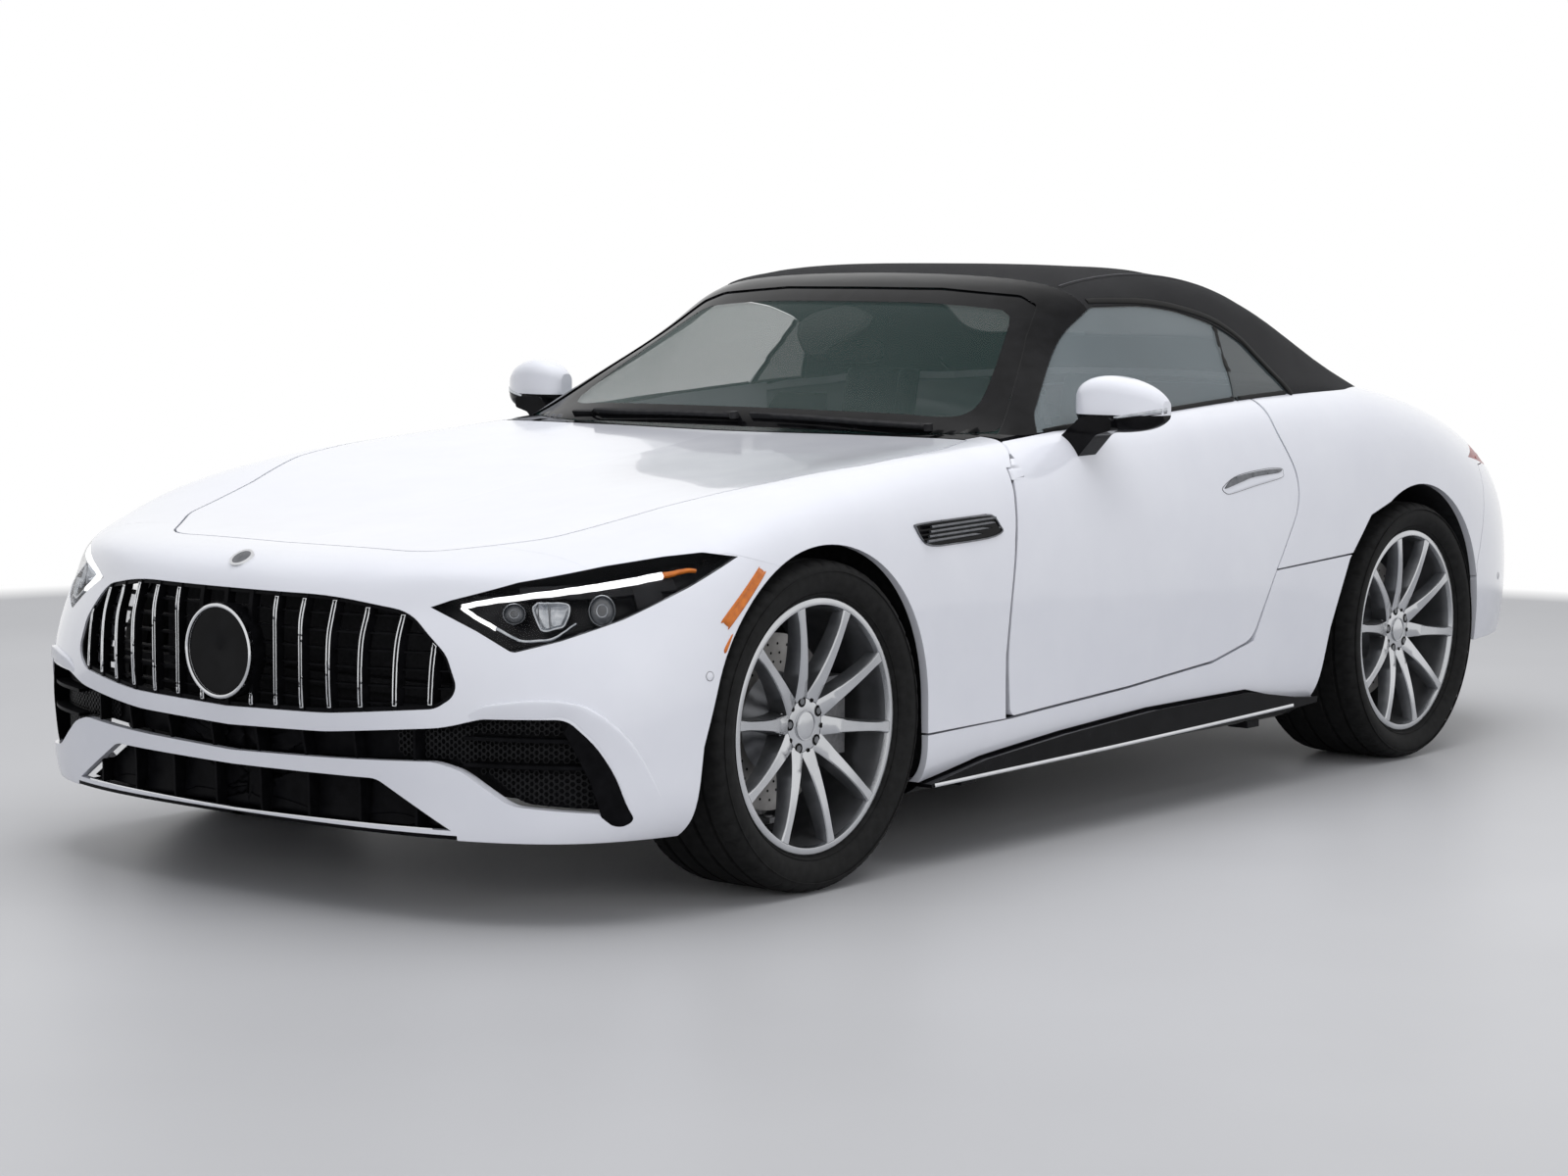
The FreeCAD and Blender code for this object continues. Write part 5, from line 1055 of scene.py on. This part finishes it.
frit = Build()
for sign in (1, -1):
    outer, inner = (curve_through([Vector((sign * x / 1000, 0, z / 1000)) for x, z in line], 6)
                    for line in (FRIT_OUTER, FRIT_INNER))
    columns = []
    for a, b in zip(outer, inner):
        hits = [screen_spot(p.x, p.z) for p in (a.lerp(b, k / 5) for k in range(6))]
        columns.append([spot + normal * 0.0005 for spot, normal in hits])
    ring_strip(frit, columns, 0, caps=False, closed=False)
frit.piece("screen_border", [BLACK_GLOSS], "body", "windscreen")


def squared(angle, x_power, y_power):
    """Cosine and sine of an angle, which powers below one push towards a square."""
    c, s = math.cos(angle), math.sin(angle)
    return math.copysign(abs(c) ** x_power, c), math.copysign(abs(s) ** y_power, s)


HOUSING = ((1180, 1172, 0.045), (1210, 1196, 0.085), (1250, 1222, 0.115), (1285, 1244, 0.105),
           (1300, 1250, 0.060))
MIRROR_RINGS = ((1296, 0.80), (1300, 0.96), (1318, 1.0), (1324, 0.94))
MIRROR_Z, MIRROR_HALF_X, MIRROR_HALF_Z = 1140, 118, 33
screen_kit = Build()
rings = []
for y, z, half in HOUSING:
    rings.append([drawn(0, y, z) + Vector((half * math.cos(a), 0.010 * math.sin(a),
                                           0.024 * math.sin(a) - 0.018)) for a in circle(24)])
ring_strip(screen_kit, rings, 0)
tube(screen_kit, (drawn(0, 1275, 1215), drawn(0, 1310, 1160)), 0.009, 12)
rings = []
for y, grow in MIRROR_RINGS:
    rings.append([drawn(MIRROR_HALF_X * grow * c, y, MIRROR_Z + MIRROR_HALF_Z * grow * s)
                  for c, s in (squared(a, 0.55, 0.6) for a in circle(40))])
ring_strip(screen_kit, rings, 0)
screen_kit.piece("inside_mirror", [RUBBER_SEAL], "body", "windscreen_frame", 50.0)

WIPERS = ([(-560, 862, 962), (-380, 838, 968), (-180, 832, 974), (20, 830, 976)],
          [(60, 830, 978), (240, 832, 975), (430, 838, 966), (600, 858, 958)])
WIPER_SHIFT, ARM_SHIFT, ARM_LIFT = Vector((0, 0.006, 0.013)), Vector((0, -0.010, -0.006)), 0.012
wipers = Build()
for points in WIPERS:
    line = curve_through([drawn(*p) for p in points], 8)
    spots, normals = laid(("windscreen", "windscreen_frame"), line)
    spots = [s + WIPER_SHIFT for s in spots]
    bead(wipers, spots, normals, 0.008, 0.010, 0, 0.006)
    arm = [s + n * ARM_LIFT + ARM_SHIFT for s, n in zip(spots[4:], normals[4:])]
    bead(wipers, arm, normals[4:], (0.007, 0.014), 0.005, 0, 0.004)
    end = arm[-1]
    tube(wipers, (end + Vector((0, 0, -0.010)), end + Vector((0, -0.002, 0.007))), 0.011, 20)
wipers.piece("wipers", [BLACK_SATIN], "body", "windscreen_frame", 50.0)

# Cabin: steering wheel, seats and the two displays
WHEEL_CENTRE, WHEEL_LEAN, STEERING_R = drawn(372, 1310, 806), math.radians(24.0), 0.181
steering = Build()
rings = []
for a in circle(72):
    middle = STEERING_R - 0.012 * max(0.0, -math.sin(a) - 0.75) / 0.25
    radii = [(b, middle + 0.0155 * math.cos(b) * (1 + 0.06 * math.cos(2 * a))) for b in circle(14)]
    rings.append([Vector((0.0165 * math.sin(b), r * math.cos(a), r * math.sin(a)))
                  for b, r in radii])
ring_strip(steering, rings + rings[:1], 0, caps=False)
lathe(steering, [(0.012, 0.0005), (0.011, 0.025), (0.006, 0.044), (-0.006, 0.052), (-0.030, 0.050)],
      40, closed=False)
lathe(steering, [(0.0125, 0.0005), (0.0125, 0.017), (0.010, 0.0185)], 32, 1, closed=False)
for angle, mat in ((0.0, 2), (math.pi, 2), (-math.pi / 2, 1)):
    rings = []
    for k in range(7):
        share = k / 6
        r = 0.040 + 0.128 * share
        half = 0.023 - 0.009 * math.sin(math.pi * share * 0.8)
        rings.append([Vector((x, r * math.cos(angle) - half * h * math.sin(angle),
                              r * math.sin(angle) + half * h * math.cos(angle)))
                      for x, h in ((0.003, -1), (0.006, -0.7), (0.006, 0.7), (0.003, 1),
                                   (-0.008, 1), (-0.008, -1))])
    ring_strip(steering, rings, mat)
tube(steering, ((-0.03, 0, 0), (-0.26, 0, 0)), 0.0145, 24, 2)
steering.moved(Matrix.Translation(WHEEL_CENTRE) @ Matrix.Rotation(WHEEL_LEAN, 4, "X")
               @ Matrix.Rotation(math.radians(90), 4, "Z"))
steering.piece("steering_rim", [LEATHER, GUNMETAL, BLACK_SATIN], "steering_body", "steering_wheel",
               45.0, replaces=["steering_wheel"])


def cushion(build, matrix, width, length, thick, bolster, channels):
    """A closed crowned pad with raised side bolsters and sewn channels."""
    across, down = 25, 31
    upper, lower = [], []
    for j in range(down):
        v = -1 + 2 * j / (down - 1)
        for i in range(across):
            u = -1 + 2 * i / (across - 1)
            edge = (1 - abs(u) ** 5) ** 0.4 * (1 - abs(v) ** 6) ** 0.4
            rise = bolster * max(0.0, min(1.0, (abs(u) - 0.48) / 0.25)) ** 1.5
            sewn = 0.0
            if abs(u) < 0.56:
                phase = (v * channels / 2) % 1.0
                sewn = 0.006 * math.exp(-((min(phase, 1 - phase)) * 9) ** 2)
            groove = 0.010 * math.exp(-((abs(u) - 0.54) * 22) ** 2)
            height = (thick + rise) * edge - (sewn + groove) * edge
            depth = 0.25 * thick * (1 - abs(u) ** 6) ** 0.5 * (1 - abs(v) ** 6) ** 0.5
            upper.append(matrix @ Vector((u * width / 2, v * length / 2, height)))
            lower.append(matrix @ Vector((u * width / 2, v * length / 2, -depth)))
    faces, count = [], across * down
    for j in range(down - 1):
        for a in range(j * across, j * across + across - 1):
            faces.append((a, a + 1, a + across + 1, a + across))
            faces.append((count + a, count + a + across, count + a + across + 1, count + a + 1))
    build.add(upper + lower, faces)


SEAT_X, SEAT_FILL = 372, 0.85
# Name, y and z, lean, and width, length, thickness, bolster and channels of each pad
SEAT_PADS = (("seat_base_", 1625, 350, 5.0, (0.49, 0.48, 0.085, 0.030, 5)),
             ("seat_back_", 1918, 650, 78.0, (0.465, 0.56, 0.060, 0.040, 6)),
             ("head_rest_", 1968, 1000, 78.0, (0.25, 0.15, 0.032, 0.006, 0)))
SEAT_SHELL = ((1900, 330, 205), (1935, 420, 225), (1965, 600, 232), (1990, 800, 222),
              (2003, 900, 190), (2004, 925, 150))
for side, sign in BODY_SIDES:
    name, x = "seat_" + side, sign * SEAT_X
    for part, y, z, lean, sizes in SEAT_PADS:
        pad = Build()
        turn = Matrix.Rotation(math.radians(lean), 4, "X")
        cushion(pad, Matrix.Translation(drawn(x, y, z)) @ turn, *sizes)
        item = pad.piece(part + side, [LEATHER], "body", name, replaces=[name])
        with edit(item.data) as mesh:
            bmesh.ops.remove_doubles(mesh, verts=mesh.verts, dist=0.0004)
    shell = Build()
    rings = []
    for y, z, half in SEAT_SHELL:
        rings.append([drawn(x + half * c, y - 26 + 24 * s, z)
                      for c, s in (squared(a, 0.6, 0.7) for a in circle(28))])
    ring_strip(shell, rings, 0)
    for shift in (-55, 55):
        tube(shell, (drawn(x + shift, 1975, 910), drawn(x + shift, 1982, 990)), 0.006, 12, 1)
    for shift in (-185, 145):
        slab(shell, drawn(x + shift, 1420, 164), drawn(x + shift + 40, 1860, 262), 1)
    slab(shell, drawn(x - 225, 1410, 262), drawn(x + 225, 1850, 330), 0)
    shell.piece("seat_shell_" + side, [BLACK_SATIN, STEEL], "body", name, 40.0, replaces=[name])

cabin = Build()
slab(cabin, drawn(-150, 1112, 720), drawn(150, 1126, 905), 0)
slab(cabin, drawn(235, 1085, 868), drawn(510, 1096, 985), 0)
cabin = cabin.piece("cabin_screens", [BLACK_GLOSS], "body", "dashboard")
applied(cabin, "BEVEL", width=0.006, segments=3, limit_method="ANGLE")

# Rear: bars in the tail lamps and tail pipe ends
PIPE_ENDS_X, PIPE_END_Y, PIPE_END_Z = (0.452, 0.556), 0.990, 0.262
TAIL_BARS_Z, TAIL_BAR_Y, TAIL_BAR_STEP, TAIL_BAR_POINTS = (0.789, 0.8165), 3.685, 0.046, 13
for side, sign in BODY_SIDES:
    bars = Build()
    for z in TAIL_BARS_Z:
        hits = [first_hit(("tail_lamps",),
                          (sign * 2.0, TAIL_BAR_Y + TAIL_BAR_STEP * k + FRONT_AXLE_Y, z),
                          (-sign * 0.93, -0.36, 0)) for k in range(TAIL_BAR_POINTS)]
        hits = [hit for hit in hits if hit[0]]
        if len(hits) > 3:
            bead(bars, *zip(*hits), 0.008, 0.0012, 0, 0.002)
    if bars.verts:
        bars.piece("tail_bars_" + side, [RED_LENS], "body", "tail_lamps", 50.0)
    tips = Build()
    for x in PIPE_ENDS_X:
        part = Build()
        # The bore's inner wall and its closed end are painted shade, standing in for the dark
        # inside of an open pipe.
        lathe(part, [(-0.090, 0.0425), (-0.004, 0.0445), (0.0, 0.0435), (0.0005, 0.0405),
                     (-0.006, 0.0385), (-0.060, 0.0375), (-0.062, 0.001)], 48, [0, 0, 0, 0, 1, 1],
              closed=False)
        tips.join(part.moved(Matrix.Translation((sign * x, REAR_AXLE_Y + PIPE_END_Y, PIPE_END_Z))
                             @ Matrix.Rotation(math.radians(90), 4, "Z")))
    tips.piece("tail_pipe_ends_" + side, [CHROME, PAINTED_HOLE_SHADE], "body", "exhaust", 40.0)


# Floor, light and camera
FLOOR_R, FLOOR_FADE, FLOOR_REACH = 6.0, 0.25, 60.0
AMBIENT, AMBIENT_STRENGTH = (0.86, 0.89, 0.96, 1), 0.47
# Name, spot, target, width, height and watts of each light
LIGHTS = (("overhead", (0.3, -0.3, 6.0), (0, 0, 0.5), 6.0, 8.0, 330.0),
          ("side", (7.5, -2.0, 2.6), (0, -0.1, 0.5), 7.0, 2.5, 110.0),
          ("front", (2.5, -9.0, 2.6), (0, -1.5, 0.4), 6.0, 2.5, 110.0))


def seen_directly(tree):
    """1 for camera, mirror and see-through rays, 0 for the rays that light the object."""
    path = tree.nodes.new("ShaderNodeLightPath")
    total = path.outputs["Is Camera Ray"]
    for name in ("Is Glossy Ray", "Is Transmission Ray"):
        total = compute(tree, "MAXIMUM", total, path.outputs[name])
    return total


def blend(tree, share, first, second, output):
    """Mixes two shaders into an output node."""
    mix = tree.nodes.new("ShaderNodeMixShader")
    for socket, source in zip(mix.inputs, (share, first, second)):
        tree.links.new(source, socket)
    tree.links.new(mix.outputs["Shader"], tree.nodes[output].inputs["Surface"])


def stage_floor():
    """A pale round floor that fades into a white surround."""
    mesh = bpy.data.meshes.new("floor")
    mesh.from_pydata([(x * FLOOR_REACH, y * FLOOR_REACH, 0)
                      for x, y in ((-1, -1), (1, -1), (1, 1), (-1, 1))], [], [(0, 1, 2, 3)])
    mat, tree, shader = material("floor")
    noise = object_noise(tree, 0.6)
    tree.links.new(ramp(tree, noise, (0.47, 0.47, 0.48), (0.51, 0.51, 0.52)),
                   shader.inputs["Base Color"])
    tune(shader, Roughness=0.42, Specular_IOR_Level=0.3)
    coords = tree.nodes.new("ShaderNodeTexCoord")
    distance = add_node(tree, "ShaderNodeVectorMath", operation="LENGTH")
    tree.links.new(coords.outputs["Object"], distance.inputs[0])
    fade = remap(tree, distance.outputs["Value"], 0.0, 1.0, FLOOR_R - FLOOR_FADE,
                 FLOOR_R + FLOOR_FADE)
    white = add_node(tree, "ShaderNodeEmission", Color=(1, 1, 1, 1), Strength=1.0)
    blend(tree, compute(tree, "MULTIPLY", fade, seen_directly(tree)), shader.outputs["BSDF"],
          white.outputs["Emission"], "Material Output")
    mesh.materials.append(mat)
    linked("floor", mesh)


def soft_lamp(name, spot, target, size_x, size_y, power):
    data = bpy.data.lights.new(name, "AREA")
    data.shape = "RECTANGLE"
    data.size, data.size_y, data.energy = size_x, size_y, power
    lamp = linked(name, data)
    lamp.location = spot
    lamp.visible_glossy = False
    lamp.rotation_euler = (Vector(target) - Vector(spot)).to_track_quat("-Z", "Y").to_euler()


def studio():
    """A white surround seen by the camera and by mirrors, and softer light on the object."""
    world = bpy.data.worlds.new("studio")
    bpy.context.scene.world = world
    world.use_nodes = True
    tree = world.node_tree
    soft = tree.nodes["Background"]
    tune(soft, Color=AMBIENT, Strength=AMBIENT_STRENGTH)
    white = add_node(tree, "ShaderNodeBackground", Color=(1, 1, 1, 1), Strength=1.0)
    blend(tree, seen_directly(tree), soft.outputs["Background"], white.outputs["Background"],
          "World Output")
    for lamp in LIGHTS:
        soft_lamp(*lamp)


def camera():
    data = bpy.data.cameras.new("camera")
    data.lens, data.sensor_width, data.sensor_fit = CAMERA_LENS, SENSOR, "HORIZONTAL"
    data.clip_end = 200.0
    view = linked("camera", data)
    yaw, pitch = math.radians(CAMERA_YAW), math.radians(CAMERA_PITCH)
    look = Vector((-math.sin(yaw) * math.cos(pitch), math.cos(yaw) * math.cos(pitch),
                   -math.sin(pitch)))
    turn = look.to_track_quat("-Z", "Y").to_matrix().to_4x4()
    roll = Matrix.Rotation(math.radians(CAMERA_ROLL), 4, "Z")
    view.matrix_world = Matrix.Translation(CAMERA_SPOT) @ turn @ roll
    bpy.context.scene.camera = view


stage_floor()
studio()
camera()
bpy.context.scene.view_settings.view_transform = "Standard"
